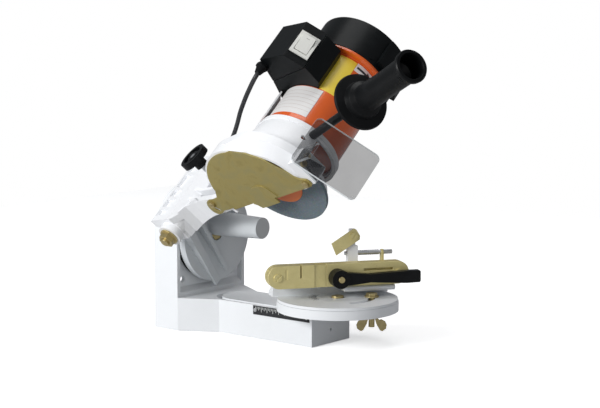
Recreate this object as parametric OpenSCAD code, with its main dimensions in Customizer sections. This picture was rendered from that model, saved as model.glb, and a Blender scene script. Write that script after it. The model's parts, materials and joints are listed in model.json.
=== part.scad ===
// Bench grinder for chain cutters: a tilting, swinging grinding head over a swivelling chain vice.
// Millimetres. X runs along the tongue to the operator, Z is up, Z = 0 is the face the base stands on.

/* [Base] */
// Height of the tongue
tongue_height = 45; // [42:1:52]
// Width of the tongue
tongue_width = 80; // [74:1:88]
// Front end of the tongue
tongue_front = 125; // [118:1:140]
// Wall of the base casting
base_wall = 6; // [4:0.5:7]
// Deck thickness of the tongue
deck = 12; // [9:1:14]
// Half width of the column
column_half = 69; // [68:1:74]
// Back face of the column
column_back = -130; // [-140:1:-126]
// Front edge of the column's side walls
column_front = -87; // [-87:1:-84]
// Thickness of the plate that carries the head
column_plate = 6; // [4:0.5:8]
// How far the plate is set back from the wall edge
plate_set_back = 8; // [6:0.5:10]
// Height of the ledge where the plate meets the base
ledge_height = 58; // [54:1:66]
// Radius of the wall bolt holes
wall_hole_radius = 4.5; // [3:0.25:6]
// Distance between the wall bolt holes
wall_hole_spacing = 100; // [90:1:106]
// Height of the wall bolt holes
wall_hole_height = 68; // [66:1:74]

/* [Head tilt] */
// Height of the tilt axis
tilt_height = 128; // [122:1:134]
// Tilt of the grinding head in degrees
tilt_angle = 41; // [0:1:60]
// Radius of the tilt disc
disc_radius = 66; // [60:1:68]
// Thickness of the tilt disc's rim
disc_rim = 10; // [7:1:12]
// Radius of the tilt disc's seat
disc_seat_radius = 51; // [44:1:55]
// Radius of the tilt bolt
tilt_bolt_radius = 6; // [5:0.5:8]
// Reach of the stop horn in front of the disc
horn_length = 84.5; // [78:0.5:92]
// Radius of the stop horn at its root
horn_root_radius = 17; // [15:0.5:19]
// Radius of the stop horn at its tip
horn_tip_radius = 14.5; // [12:0.5:16]

/* [Head swing] */
// Raised angle of the swing arm in degrees
swing_angle = 22; // [0:1:24]
// Distance of the swing pivot above the tilt axis
pivot_rise = 70; // [69:0.5:74]
// Distance of the swing pivot in front of the disc
pivot_forward = 3.5; // [3.5:0.5:8]
// Radius of the swing pivot bolt
pivot_radius = 6; // [5:0.5:8]
// Radius of the hinge barrel
barrel_radius = 14; // [12:0.5:14]
// Radius of the arm's hinge lugs
lug_radius = 17; // [15:0.5:18]
// Length of the hinge barrel
barrel_length = 100; // [90:1:110]
// Thickness of the arm's two hinge lugs
lug_thickness = 9.6; // [7:0.2:12]

/* [Wheel and guard] */
// Radius of the grinding wheel
wheel_radius = 72.5; // [65:0.5:75]
// Thickness of the grinding wheel
wheel_thickness = 5; // [3.2:0.1:6.5]
// Radius of the hole in the grinding wheel
wheel_bore = 11; // [10:0.5:12.7]
// Distance of the wheel axis from the swing pivot
wheel_reach = 195; // [190:1:200]
// Distance of the wheel axis below the arm's centre line
wheel_drop = 6; // [4:0.5:8]
// Centre plane of the wheel from the tilt axis
wheel_plane = -8; // [-10:0.5:-6]
// Wall of the wheel guard
guard_wall = 4; // [3:0.5:5]
// Thickness of the guard's cover plate
cover_thickness = 2; // [1.5:0.25:3]
// Thickness of the clear eye shield
shield_thickness = 3; // [2:0.5:4]
// Width of the clear eye shield across the wheel
shield_width = 74; // [60:1:76]
// Height of the clear eye shield
shield_height = 92; // [80:1:94]

/* [Motor] */
// Radius of the motor shell
motor_radius = 53; // [50:0.5:55]
// Wall of the motor shell
motor_wall = 3; // [2:0.25:4]
// Radius of the motor's front ring
ring_radius = 60; // [58:0.5:62]
// Radius of the fan cap
cap_radius = 63; // [61:0.5:66]
// Depth of the fan cap
cap_depth = 50; // [46:1:54]
// Radius of the motor shaft
shaft_radius = 7; // [5:0.5:8]

/* [Handle] */
// Radius of the handle rod
rod_radius = 5.5; // [4:0.25:6.5]
// Radius of the handle's hand stop
hand_stop_radius = 35.5; // [30:0.5:40]
// Radius of the handle grip
grip_radius = 16.5; // [14:0.5:18]
// Length of the handle grip
grip_length = 124; // [110:1:135]

/* [Vice] */
// Radius of the swivel table
table_radius = 80; // [76:1:84]
// Thickness of the swivel table
table_thickness = 12; // [9:0.5:14]
// Thickness of the swivel disc on the table
swivel_disc = 3.5; // [3:0.25:5]
// Distance of the swivel axis in front of the base
swivel_x = 136; // [134:1:146]
// Swivel of the vice off the square position in degrees
swivel_angle = -35; // [-35:1:35]
// Radius at which the swivel bolt runs
swivel_bolt_ring = 45; // [42:0.5:48]
// Radius of the swivel bolt
swivel_bolt_radius = 4; // [3:0.5:5]
// Height of the vice rails
rail_height = 30; // [26:1:32]
// Half length of the vice rails
rail_half = 96; // [88:1:100]
// Thickness of each vice rail
rail_thickness = 8; // [6:0.5:9]
// Width of the groove that takes the chain's drive links
chain_groove = 2.2; // [1.6:0.1:2.5]
// Height of the rails' lower edge
rail_bottom = 78; // [76:1:84]

/* [Depth stop] */
// Radius of the depth screw
depth_screw_radius = 4; // [3:0.5:5]
// Radius of the depth stop's handwheel
handwheel_radius = 20; // [16:1:24]

/* [Part to draw] */
// Piece to draw on its own, or all

/* [Hidden] */
$fn = 64;
small_fn = 32;
face_gap = 0.3;
shaft_gap = 0.06;
fit_gap = 0.02;
through = 1;
far = 4 * wheel_reach;
mains_radius = 3;

// base
half = tongue_width / 2;
plate_x = column_front - plate_set_back;
shoulder_x = -37;
slot_half = half - 5;
slot_depth = 6;
slot_centre = -30;
slot_gap = 1.5;
slot_rest_gap = 8;
clamp_slot_half = 5;
clamp_slot_start = -8;
clamp_slot_end = 84;
ramp_run = 15;
recess_radius = column_half - base_wall;
end_hole_radius = 2;
end_hole_height = 18;
rule_start = 25;
rule_end = 121;
rule_low = tongue_height - 12.5;
rule_high = tongue_height - 0.5;
rule_thick = 1;
rule_screw_radius = 1.6;
rule_screw_head = 2.6;
rule_screw_inset = 4;

// tilt
scale_inner = disc_seat_radius + 1;
scale_outer = recess_radius - 0.4;
scale_thick = 1;
disc_front_x = column_front + 11;
disc_back_x = plate_x + face_gap;
disc_rim_back = disc_front_x - disc_rim;
pivot_x = disc_front_x + pivot_forward;
gusset_foot = 52;
gusset_thick = 11;
thin_gusset = 6;
thin_gusset_at = -24;
horn_across = 8;
horn_up = 12;
tilt_head_radius = 10;
tilt_head_height = 7;
tilt_washer = 2.5;
tilt_nut_height = 10;
pivot_washer = 2;
pivot_nut_height = 8;
pivot_nut_radius = 11;
pivot_head_height = 7;
pivot_end = 3;

// arm
pivot_back = 0.3;
pivot_up = 3.3;
lug_inner = barrel_length / 2 + face_gap;
lug_outer = lug_inner + lug_thickness;
boss_high = 10;
nut_face = lug_outer + boss_high + face_gap;
arm_floor = -18;
arm_skin = 6;
arm_back = -26;
arm_top = 29;
arm_front = wheel_reach - 95;
arm_step = 18.5;
taper_start = 14;
front_low = -23.7;
front_high = 30;
rib_thick = 5;
rib_places = [-40, -20, -3, 26];
screw_u = 62;
screw_m = 8;
screw_boss = 9;
screw_boss_top = 20;

// guard
bell_front_radius = motor_radius + 13;
bell_back_radius = motor_radius + 4;
guard_front = wheel_plane - 16;
guard_back = 0;
pad_face = wheel_reach + 82;
pad_deep = pad_face - wheel_reach - bell_front_radius - 2 * face_gap;
pad_low = -21;
pad_high = 18;
pad_front = guard_front + 0.5;
pad_end = 1;
lobe_u = wheel_reach - 32;
lobe_n = -5;
lobe_radius = wheel_radius + 3;
guard_radius = wheel_radius + 4.7;
guard_cut = -24;
cone_radius = wheel_radius - 11.5;
cone_end = -12;
guard_hub_hole = 26;
cover_rim = [[-45, 66], [-6, 65.5], [18, 55], [36, 39], [53, 14], [59, 0], [65, -6], [75, -10], [77, -14],
    [77, -19], [73, -22], [-45, -22], [-45, -17.5], [-65, -17.5]];
cover_root = [[84, -14], [86, 9], [96, 20]];
tab_points = [[90, -15], [90, 10], [84, 8.5], [76, 8], [70, 8], [66, 9], [61, 8.5], [57, 6.5], [53, 2], [51.5, -3], [51.5, -8],
    [53.5, -12.5], [57, -16], [62, -17], [68, -16.5], [74, -14]];
tab_slot_start = [60, -2.5];
tab_slot_end = [67, -11];
cover_screw_at = [[66, 1.5], [wheel_reach + 68.7, -15.6]];
cover_pad = 5;
cover_screw_radius = 2.5;
cover_screw_head = 5;
cover_screw_height = 3.5;
emboss_points = [[-52, -18], [-48, -11], [-42, -2], [-37, 2], [-30, 5], [-22, 6.2], [-14, 5.3], [-7.5, 2.4],
    [-3, -3.3], [1, -15.4], [3, -19], [-5.5, -19.5], [-4, -28.5], [-27, -29], [-43, -28.5], [-47, -22]];
emboss_high = 1.5;

// bell and motor
bell_back = 44;
bell_wall = 5;
ring_back = 50;
motor_back = 178;
end_flange = 4;
flange_radius = cap_radius - 0.5;
cradle_start_angle = 112;
cradle_end_angle = 196;
cradle_outer = ring_radius;
cradle_back = 106;
window_low = -150;
window_high = 6;
window_front = 6;
window_back = 40;
bell_hole = 3.5;
bell_hole_angle = 22;
bell_hole_m = 28;
relief_low = -98;
relief_high = -74;
plate_front = 60;
plate_back = 107;
plate_angle = 35;
plate_sweep = 95;
label_thick = 0.6;
cap_wall = 2.5;
cap_box_sweep = 62;
cap_box_high = 7;
cap_box_front = 184;
cap_box_back = 223;
vent_count = 8;
vent_radius = 36;
vent_half = 5;
stator_inner = 31;
rotor_radius = stator_inner - 1;
core_front = 74;
core_back = 148;
fan_radius = cap_radius - 9;
fan_front = 184;
fan_back = 208;
fan_blades = 6;
bearing_radius = 16;
bearing_width = 9;

// switch
box_front = 108;
box_back = 171;
box_top_points = [[-23, 66], [-10, 102], [35, 94], [48.5, 66]];
box_low_points = [[-45, 20], [-23.7, 64], [-23, 65.5], [49, 65.5], [49.5, 60], [48, 38], [25, 20]];
face_top = [wheel_reach + 35, 94];
face_slope = 63.4;
frame_m = 137;
frame_along = 15.5;
frame_long = 36;
frame_wide = 27;
frame_high = 2.5;
frame_rim = 4;
frame_sunk = 9;
rocker_gap = 0.5;
rocker_axis = -1;
rocker_pin = 1.2;
gland_u = wheel_reach - 14;
gland_n = 92;
gland_radius = 7;
gland_length = 14;

// handle
handle_u = wheel_reach + 58;
handle_n = 8;
handle_m = 40;
handle_rise = 9;
rod_start = -1;
stop_at = 120;
stop_thick = 5;
rod_end = 200;

// wheel set
wheel_hub_radius = 22;
wheel_hub_width = 5;
wheel_nut_height = 8;
wheel_nut_radius = 12;
label_radius = 38;

// shield
shield_plane = pad_face + 13;
shield_turn = 22;
shield_m = wheel_plane + 3;
shield_top = -81;
shield_join = (shield_plane - pad_high * sin(shield_turn)) / cos(shield_turn) + 1;
shield_round = 8;

// cord
upper_points = [[181, 102, 92], [181, 98, 92], [179.5, 89, 91], [173, 84.5, 88], [165, 80, 84], [151, 75, 77],
    [136, 71, 69], [123, 69, 62], [100, 68, 49], [81, 67, 39], [58, 66, 28], [38, 65, 18], [24, 66, 11],
    [12, 71, 6.5], [3.5, 80, 4], [-pivot_back, 89, pivot_up], [-pivot_back, 92, pivot_up], [-pivot_back, 95, pivot_up]];
middle_points = [[pivot_x, 89, pivot_rise], [pivot_x, 92 + face_gap, pivot_rise], [pivot_x, 96, pivot_rise],
    [pivot_x - 3, 107, pivot_rise], [pivot_x - 12, 115.7, 69], [-100, 116.5, 58], [-116, 107.5, 44.4], [-134, 93, 30.6],
    [-150, 78, 17], [-166, 64, 3], [-178, 50, -8], [-182, 32, -12], [-175, 11, -7], [-163, 2.2, -1],
    [-156, 0, 0], [-153, 0, 0], [-150.4, 0, 0], [-146, 0, 0]];
coil_x = -195;
coil_y = 85;
coil_outer = 43.5;
coil_pitch = 6.6;
coil_layer = 900;
coil_rise = 70;
coil_steps = 125;
coil_tail = 20;
plug_radius = 18.7;
tail_rise = plug_radius - coil_pitch - 2.8;
plug_length = 44;
lower_points = [[-154, 0, tilt_height], [-150 + face_gap, 0, tilt_height], [-147.5, 0, tilt_height],
    [-145, 0, tilt_height], [-136, 0, tilt_height - 4],
    [-129, 0, tilt_height - 12], [-125.5, 0, tilt_height - 24], [-125, 0, 85], [-125, 0, 60], [-125.5, 0, 38],
    [-127.5, 0.5, 24], [-133, 2.5, 13], [-141, 6, 6.5], [-149, 13, 3.6], [-152.5, 24, 3.05], [-152.2, 40, 3.05],
    [-151.6, 60, 3.05], [coil_x + coil_outer, coil_y - 8, 3.05], [coil_x + coil_outer, coil_y, 3.05],
    [coil_x + coil_outer, coil_y + 8, 3.05]];

// depth stop
depth_tip = -34;
depth_end = 62;
wheel_rim_low = 54;
wheel_rim_high = 63;
hub_radius = 8.5;
hub_low = 43;
rim_width = 5.5;
spoke_half = 3;
spokes = 3;

// vice
table_bottom = tongue_height + 1.3;
table_top = table_bottom + table_thickness;
carriage_top = table_bottom;
guide_low = tongue_height - slot_depth + face_gap;
swivel_range = 70;
arc_gap = 0.5;
vice_turn = 90 + swivel_angle;
bolt_angle = 44;
disc_top = table_top + face_gap + swivel_disc;
vice_foot = disc_top;
shelf_front = chain_groove / 2 + rail_thickness;
post_front = shelf_front + face_gap;
shelf_top = rail_bottom + 14;
rail_bolt_at = 82;
clamp_bolt_x = 60;
clamp_bolt_radius = 4;
clamp_nut_high = 12;
clamp_plate_high = 5;
rail_round = rail_height / 2;
front_rail_end = -34;
block_end = -18;
groove_deep = 7;
jaw_gap = 0.6;
lever_at = -3;
lever_hub_radius = 12;
lever_hub_out = 20;
lever_reach = 109;
lever_high = 14;
lever_thick = 11;
pin_radius = 4;
rail_screw_at = -83;
rail_screw_head = 5.5;
post_at = 23.7;
post_radius = 4.5;
post_top = 150;
stop_block_half = 7;
stop_block_high = 128;
spindle_radius = 2.5;
spindle_start = 33;
spindle_end = 61;
spindle_shoulder = 68;
rail_seam_at = -53;
rail_slot_at = -73;
spindle_height = 118;
spring_radius = 3.4;
knurl_radius = 3;
knurl_length = 11;
knurls = 18;
pawl_thick = 2.5;
pawl_turn = 32;
pawl_tip = 31.4;
pawl_tail = 8;
pawl_half = 8.4;
pawl_height = 141;
wing_nut_radius = 7;
wing_nut_high = 10;
wing_reach = 20;
wing_thick = 3;

module on_tilt() translate([0, 0, tilt_height]) rotate([tilt_angle, 0, 0]) children();
module on_arm() on_tilt() translate([pivot_x, 0, pivot_rise]) rotate([0, -swing_angle, 0])
    translate([pivot_back, 0, -pivot_up]) children();
module on_motor() on_arm() translate([wheel_reach, 0, -wheel_drop]) rotate([-90, 0, 0]) children();
module on_handle() on_arm() translate([handle_u, handle_m, handle_n]) rotate([0, 90 - handle_rise, 0]) children();
module on_vice() translate([swivel_x, 0, 0]) rotate([0, 0, vice_turn]) children();
module slab(from, to) translate([0, to, 0]) rotate([90, 0, 0]) linear_extrude(to - from) children();
module tube(outer, inner, from, to) {
    difference() {
        translate([0, 0, from]) cylinder(h = to - from, r = outer);
        translate([0, 0, from - through]) cylinder(h = to - from + 2 * through, r = inner);
    }
}
module rod(radius, from, to) translate([0, 0, from]) cylinder(h = to - from, r = radius);
module hexagon(radius, from, to) translate([0, 0, from]) cylinder(h = to - from, r = radius, $fn = 6);
module sector(radius, start, sweep) {
    polygon(concat([[0, 0]], [for (i = [0:6]) [2 * radius * cos(start + i * sweep / 6),
        2 * radius * sin(start + i * sweep / 6)]]));
}

module column_shape(radius, low) {
    translate([-radius, low]) square([2 * radius, tilt_height - low]);
    translate([0, tilt_height]) circle(r = radius);
}
module along_x(from, to) translate([from, 0, 0]) rotate([90, 0, 90]) linear_extrude(to - from) children();
module tongue_shape(inset, front) {
    polygon([[column_back, inset - column_half], [column_front, inset - column_half],
        [shoulder_x, inset - half], [front, inset - half], [front, half - inset],
        [shoulder_x, half - inset], [column_front, column_half - inset], [column_back, column_half - inset]]);
}
module u_shape(radius, back_centre, front) {
    translate([back_centre, 0]) circle(r = radius);
    translate([back_centre, -radius]) square([front - back_centre, 2 * radius]);
}

module base_casting() color("gainsboro") {
    difference() {
        union() {
            along_x(column_back, column_front) column_shape(column_half, 0);
            linear_extrude(tongue_height) tongue_shape(0, tongue_front);
        }
        along_x(column_back - through, plate_x - column_plate) column_shape(recess_radius, -through);
        along_x(plate_x, column_front + through) column_shape(recess_radius, tongue_height + ramp_run);
        translate([0, recess_radius, 0]) rotate([90, 0, 0]) linear_extrude(2 * recess_radius)
            polygon([[plate_x, ledge_height], [plate_x, tongue_height + ramp_run + through],
                [column_front + through, tongue_height + ramp_run + through], [column_front + through, tongue_height],
                [plate_x + ramp_run, tongue_height]]);
        intersection() {
            translate([0, 0, -through]) linear_extrude(tongue_height - deck + through)
                tongue_shape(base_wall, tongue_front - base_wall);
            translate([plate_x, -column_half, -through]) cube([tongue_front - plate_x, 2 * column_half, tongue_height]);
        }
        translate([0, 0, tongue_height - slot_depth]) linear_extrude(slot_depth + through)
            u_shape(slot_half, slot_centre, tongue_front + through);
        translate([clamp_slot_start, -clamp_slot_half, tongue_height - deck - through])
            cube([clamp_slot_end - clamp_slot_start, 2 * clamp_slot_half, deck + through]);
        for (side = [-1, 1])
            translate([plate_x - column_plate - through, side * wall_hole_spacing / 2, wall_hole_height])
                rotate([0, 90, 0]) cylinder(h = column_plate + 2 * through, r = wall_hole_radius);
        translate([plate_x - column_plate - through, 0, tilt_height])
            rotate([0, 90, 0]) cylinder(h = column_plate + 2 * through, r = tilt_bolt_radius + shaft_gap);
        translate([tongue_front - base_wall - through, 0, end_hole_height])
            rotate([0, 90, 0]) cylinder(h = base_wall + 2 * through, r = end_hole_radius);
    }
}

module tilt_scale() color("black") {
    translate([plate_x, 0, tilt_height]) rotate([0, 90, 0]) difference() {
        cylinder(h = scale_thick, r = scale_outer);
        translate([0, 0, -through]) cylinder(h = scale_thick + 2 * through, r = scale_inner);
        translate([-2 * scale_outer, -scale_outer, -through])
            cube([2 * scale_outer, 2 * scale_outer, scale_thick + 2 * through]);
    }
}

module slide_scale() color("black") {
    difference() {
        translate([rule_start, -half - rule_thick, rule_low])
            cube([rule_end - rule_start, rule_thick, rule_high - rule_low]);
        at_rule_screws() cylinder(h = 4 * rule_thick, r = rule_screw_radius, center = true);
    }
}
module at_rule_screws() {
    for (x = [rule_start + rule_screw_inset, rule_end - rule_screw_inset])
        translate([x, -half - rule_thick, (rule_low + rule_high) / 2]) rotate([90, 0, 0]) children();
}
module scale_screws() color("silver") {
    at_rule_screws() {
        rod(rule_screw_head, 0, rule_thick);
        rod(rule_screw_radius - fit_gap, -rule_thick, 0);
    }
}

module tilt_bracket() color("lightgrey") {
    on_tilt() difference() {
        union() {
            along_x(disc_back_x, disc_rim_back) circle(r = disc_seat_radius);
            along_x(disc_rim_back, disc_front_x) circle(r = disc_radius);
            translate([0, barrel_length / 2, 0]) rotate([90, 0, 0]) linear_extrude(barrel_length)
                translate([pivot_x, pivot_rise]) circle(r = barrel_radius);
            gusset(-barrel_length / 2, gusset_thick);
            gusset(thin_gusset_at, thin_gusset);
            gusset(barrel_length / 2 - gusset_thick, gusset_thick);
            translate([disc_front_x - through, horn_across, horn_up]) rotate([0, 90, 0])
                cylinder(h = horn_length + through, r1 = horn_root_radius, r2 = horn_tip_radius);
        }
        translate([pivot_x, 0, pivot_rise]) rotate([90, 0, 0])
            cylinder(h = 2 * barrel_length, r = pivot_radius + fit_gap, center = true);
        translate([disc_back_x - through, 0, 0]) rotate([0, 90, 0])
            cylinder(h = disc_front_x - disc_back_x + 2 * through, r = tilt_bolt_radius + fit_gap);
        translate([disc_front_x - tilt_head_height, 0, 0]) rotate([0, 90, 0])
            cylinder(h = tilt_head_height + through, r = tilt_head_radius + face_gap);
        translate([disc_front_x + horn_length - 13, horn_across, horn_up - 6]) rotate([90, 0, 0])
            cylinder(h = 2 * horn_root_radius, r = end_hole_radius);
    }
}
module gusset(start, thick) {
    slab(start, start + thick)
        polygon([[disc_front_x - 2, -gusset_foot], [disc_front_x + 1.5, -gusset_foot],
            [pivot_x + barrel_radius - 1.2, pivot_rise - 5], [pivot_x - barrel_radius + 4, pivot_rise],
            [disc_front_x - 2, pivot_rise - barrel_radius]]);
}
module tilt_bolt() color("goldenrod") {
    on_tilt() rotate([0, 90, 0]) {
        hexagon(tilt_head_radius, disc_front_x - tilt_head_height, disc_front_x - 0.5);
        rod(tilt_bolt_radius, plate_x - column_plate - tilt_washer - tilt_nut_height - 5,
            disc_front_x - tilt_head_height);
    }
}
module tilt_nut() color("goldenrod") {
    on_tilt() rotate([0, 90, 0]) difference() {
        union() {
            rod(tilt_bolt_radius * 2.2, plate_x - column_plate - face_gap - tilt_washer,
                plate_x - column_plate - face_gap);
            hexagon(tilt_bolt_radius * 1.8, plate_x - column_plate - face_gap - tilt_washer - tilt_nut_height,
                plate_x - column_plate - face_gap - tilt_washer);
        }
        rod(tilt_bolt_radius + fit_gap, plate_x - column_plate - 2 * tilt_nut_height, plate_x);
    }
}
module pivot_bolt() color("goldenrod") {
    on_tilt() translate([pivot_x, 0, pivot_rise]) rotate([-90, 0, 0]) {
        rod(pivot_radius, -nut_face - pivot_washer - pivot_nut_height - pivot_end, lug_outer + face_gap);
        hexagon(pivot_nut_radius, lug_outer + face_gap, lug_outer + face_gap + pivot_head_height);
    }
}
module pivot_nut() color("goldenrod") {
    on_tilt() translate([pivot_x, 0, pivot_rise]) rotate([-90, 0, 0]) difference() {
        union() {
            hexagon(pivot_nut_radius, -nut_face - pivot_washer - pivot_nut_height, -nut_face - pivot_washer);
            rod(pivot_nut_radius + 2, -nut_face - pivot_washer, -nut_face);
        }
        rod(pivot_radius + fit_gap, -nut_face - 2 * pivot_nut_height, -lug_outer);
    }
}
module arm_plan() {
    polygon([[arm_back, -lug_outer], [14, -lug_outer], [18, -46], [23, -34], [32, -27], [44, front_low],
        [arm_front, front_low], [arm_front, front_high], [40, 40], [18, 55], [14, lug_outer], [arm_back, lug_outer]]);
}
module guard_body(shrink, front, back) {
    intersection() {
        union() {
            slab(front, back) translate([lobe_u, lobe_n]) circle(r = lobe_radius - shrink);
            slab(max(front, cone_end), back) polygon([[lobe_u, lobe_n], [wheel_reach, -wheel_drop],
                [wheel_reach - 1.7, guard_radius - shrink - wheel_drop], [lobe_u - 1.7, lobe_radius - shrink + lobe_n]]);
            translate([wheel_reach, 0, -wheel_drop]) rotate([-90, 0, 0]) rotate_extrude() polygon([[0, front],
                [cone_radius - shrink, front], [cone_radius - shrink, guard_front], [guard_radius - shrink, cone_end],
                [guard_radius - shrink, back], [0, back]]);
        }
        translate([-far / 2, -far / 2, guard_cut]) cube(far);
    }
}
module arm_casting() color("white") {
    on_arm() difference() {
        union() {
            intersection() {
                translate([0, 0, -100]) linear_extrude(200) arm_plan();
                union() {
                    slab(-lug_outer, lug_outer) polygon([[arm_back, arm_step], [arm_back, arm_top],
                        [arm_back + 5, arm_top], [arm_back + 5, arm_step + arm_skin], [12, arm_step + arm_skin],
                        [arm_step + arm_skin, 8], [arm_step + arm_skin, arm_floor + arm_skin],
                        [arm_front, arm_floor + arm_skin], [arm_front, arm_floor], [arm_step, arm_floor],
                        [arm_step, 6], [9, arm_step]]);
                    for (place = rib_places)
                        slab(place, place + rib_thick) polygon([[arm_back, arm_step], [arm_back, arm_top],
                            [-18, arm_top], [32, 13], [arm_front, 4], [arm_front, arm_floor],
                            [arm_step, arm_floor], [arm_step, 6], [9, arm_step]]);
                    slab(-lug_outer, lug_outer) polygon([[arm_front - 8, arm_floor], [arm_front - 8, 8],
                        [arm_front, 8], [arm_front, arm_floor]]);
                    arm_side(1);
                    arm_side(-1);
                    translate([0, 0, arm_floor + 1]) linear_extrude(34) polygon([[15.2, -lug_outer], [15.2, -40],
                        [30, -18], [40, front_low], [32, -27], [22, -33], [17, -45]]);
                    translate([screw_u, screw_m, arm_floor]) cylinder(h = screw_boss_top - arm_floor, r = screw_boss);
                }
            }
            for (side = [-1, 1]) arm_lug(side);
            guard_body(0, guard_front, guard_back);
            translate([pad_face - pad_deep, pad_front, pad_low]) cube([pad_deep, pad_end - pad_front, pad_high - pad_low]);
            slab(guard_front, guard_front + 10) intersection() {
                translate(cover_screw_at[1]) circle(r = cover_pad + 1.5);
                translate([wheel_reach, guard_cut]) square([pad_face + 10 - wheel_reach, 40]);
            }
            slab(guard_front, guard_front + 12) {
                translate(cover_screw_at[0]) circle(r = cover_pad);
                polygon([[cover_screw_at[0][0] - 4, -6], [cover_screw_at[0][0], 6.5], [100, 8], [100, arm_floor],
                    [cover_screw_at[0][0] - 4, arm_floor]]);
            }
        }
        translate([-pivot_back, 0, pivot_up]) rotate([90, 0, 0])
            cylinder(h = 4 * lug_outer, r = pivot_radius + shaft_gap, center = true);
        translate([screw_u, screw_m, -100]) cylinder(h = 200, r = depth_screw_radius + shaft_gap);
        difference() {
            guard_body(guard_wall, guard_front - through, guard_back - guard_wall);
            slab(guard_front, guard_front + 12) translate(cover_screw_at[1]) circle(r = cover_pad + 2);
            slab(guard_front, guard_back) polygon([[94, -30], [94, -4], [80, 10], [80, -30]]);
        }
        translate([wheel_reach, 0, -wheel_drop]) rotate([90, 0, 0]) cylinder(h = 60, r = guard_hub_hole, center = true);
        slab(guard_front - through, guard_front + 8) translate(cover_screw_at[0]) circle(r = cover_screw_radius);
        slab(guard_front - through, guard_front + 8) translate(cover_screw_at[1]) circle(r = cover_screw_radius);
        at_rim_bolts() rod(cover_screw_radius, -9, through);
    }
}
module arm_side(side) {
    intersection() {
        translate([0, 0, arm_floor]) linear_extrude(45) difference() {
            polygon([[0, 0], [0, side * lug_outer], [arm_front, side * lug_outer], [arm_front, 0]]);
            translate([0, -side * (arm_skin - 0.5)]) arm_plan();
        }
        slab(-lug_outer, lug_outer) polygon([[arm_step - 0.5, arm_floor], [arm_step - 0.5, 19], [34, 13],
            [arm_front, 4], [arm_front, arm_floor]]);
    }
}
module arm_lug(side) {
    slab(side < 0 ? -lug_outer : lug_inner, side < 0 ? -lug_inner : lug_outer) {
        translate([-pivot_back, pivot_up]) circle(r = lug_radius);
        polygon([[-15, 10], [arm_back, arm_step], [arm_back, arm_top], [arm_back + 5, arm_top], [8, 24],
            [taper_start, 19], [taper_start, -6]]);
        polygon([[0, pivot_up - lug_radius], [taper_start, arm_floor + 2], [taper_start, 19], [0, 14]]);
    }
    if (side < 0) translate([-pivot_back, 0, pivot_up]) rotate([90, 0, 0])
        rod(lug_radius - 0.5, lug_outer - through, lug_outer + boss_high);
}
module at_rim_bolts() {
    for (at = [[-7.5, 10], [-19, 8.5]]) translate([pad_face, at[0], at[1]]) rotate([0, 90, 0]) children();
}
module rim_bolts() color("goldenrod") {
    on_arm() at_rim_bolts() difference() {
        union() {
            rod(4.3, shield_thickness, shield_thickness + 3.6);
            rod(cover_screw_radius - fit_gap, -8, shield_thickness);
        }
        hexagon(2.4, shield_thickness + 1.6, shield_thickness + 5);
    }
}

module guard_cover() color("goldenrod") {
    on_arm() difference() {
        union() {
            slab(guard_front - cover_thickness, guard_front) {
                difference() {
                    translate([lobe_u, lobe_n]) circle(r = lobe_radius - 3);
                    translate([0, guard_cut + 6 - far]) square(far);
                    translate([60, -20]) square([36, 40]);
                }
                polygon(concat([for (at = cover_rim) at + [wheel_reach, 0]], cover_root));
                polygon(tab_points);
            }
            slab(guard_front - cover_thickness - emboss_high, guard_front - cover_thickness + 1)
                translate([wheel_reach, 0]) polygon(emboss_points);
        }
        slab(guard_front - 2 * cover_thickness, guard_front + through) {
            hull() {
                translate(tab_slot_start) circle(r = cover_screw_radius + fit_gap, $fn = small_fn);
                translate(tab_slot_end) circle(r = cover_screw_radius + fit_gap, $fn = small_fn);
            }
            for (at = cover_screw_at) translate(at) circle(r = cover_screw_radius + fit_gap);
        }
    }
}
module cover_screws() color("goldenrod") {
    on_arm() for (at = cover_screw_at) translate([at[0], guard_front - cover_thickness, at[1]])
        rotate([90, 0, 0]) difference() {
            union() {
                hexagon(cover_screw_head, 0, cover_screw_height);
                rod(cover_screw_radius - fit_gap, -8, 0);
            }
            translate([-cover_screw_head, -0.5, cover_screw_height - 1]) cube([2 * cover_screw_head, 1, 2]);
        }
}

module bell_housing() color("white") {
    difference() {
        union() {
            on_motor() rotate_extrude() polygon([[bell_front_radius, guard_back + fit_gap], [bell_back_radius, bell_back],
                [bell_back_radius - bell_wall, bell_back], [bell_front_radius - bell_wall - 1, guard_back + fit_gap]]);
            on_motor() translate([0, 0, bell_back]) linear_extrude(cradle_back - bell_back) difference() {
                circle(r = cradle_outer);
                circle(r = ring_radius - 2);
                sector(cradle_outer, -cradle_start_angle, 360 - (cradle_end_angle - cradle_start_angle));
            }
            on_motor() translate([0, 0, bell_back - 4]) linear_extrude(4) difference() {
                circle(r = cradle_outer);
                circle(r = bell_back_radius - bell_wall);
                sector(cradle_outer, -cradle_start_angle, 360 - (cradle_end_angle - cradle_start_angle));
            }
        }
        on_motor() translate([0, 0, window_front]) linear_extrude(window_back - window_front)
            sector(bell_front_radius, -window_high, window_high - window_low);
        on_motor() translate([0, 0, guard_back - through]) linear_extrude(window_front + 2 * through)
            sector(bell_front_radius, -relief_high, relief_high - relief_low);
        on_motor() rotate([0, 90, -bell_hole_angle]) translate([-bell_hole_m, 0, 40]) cylinder(h = 40, r = bell_hole);
        on_handle() rod(rod_radius + fit_gap, -20, 20);
    }
}
module motor_ring() color("silver") {
    difference() {
        on_motor() tube(ring_radius - 2.1, motor_radius - motor_wall, bell_back, ring_back);
        on_handle() rod(rod_radius + face_gap, rod_start - rod_radius - face_gap, 20);
    }
}
module motor_shell() color("orangered") {
    on_motor() {
        tube(motor_radius, motor_radius - motor_wall, ring_back, motor_back - end_flange);
        tube(flange_radius, bearing_radius, motor_back - end_flange, motor_back);
        difference() {
            rod(motor_radius - motor_wall, ring_back, ring_back + end_flange);
            rod(bearing_radius, ring_back - through, ring_back + end_flange + through);
        }
    }
}
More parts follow.
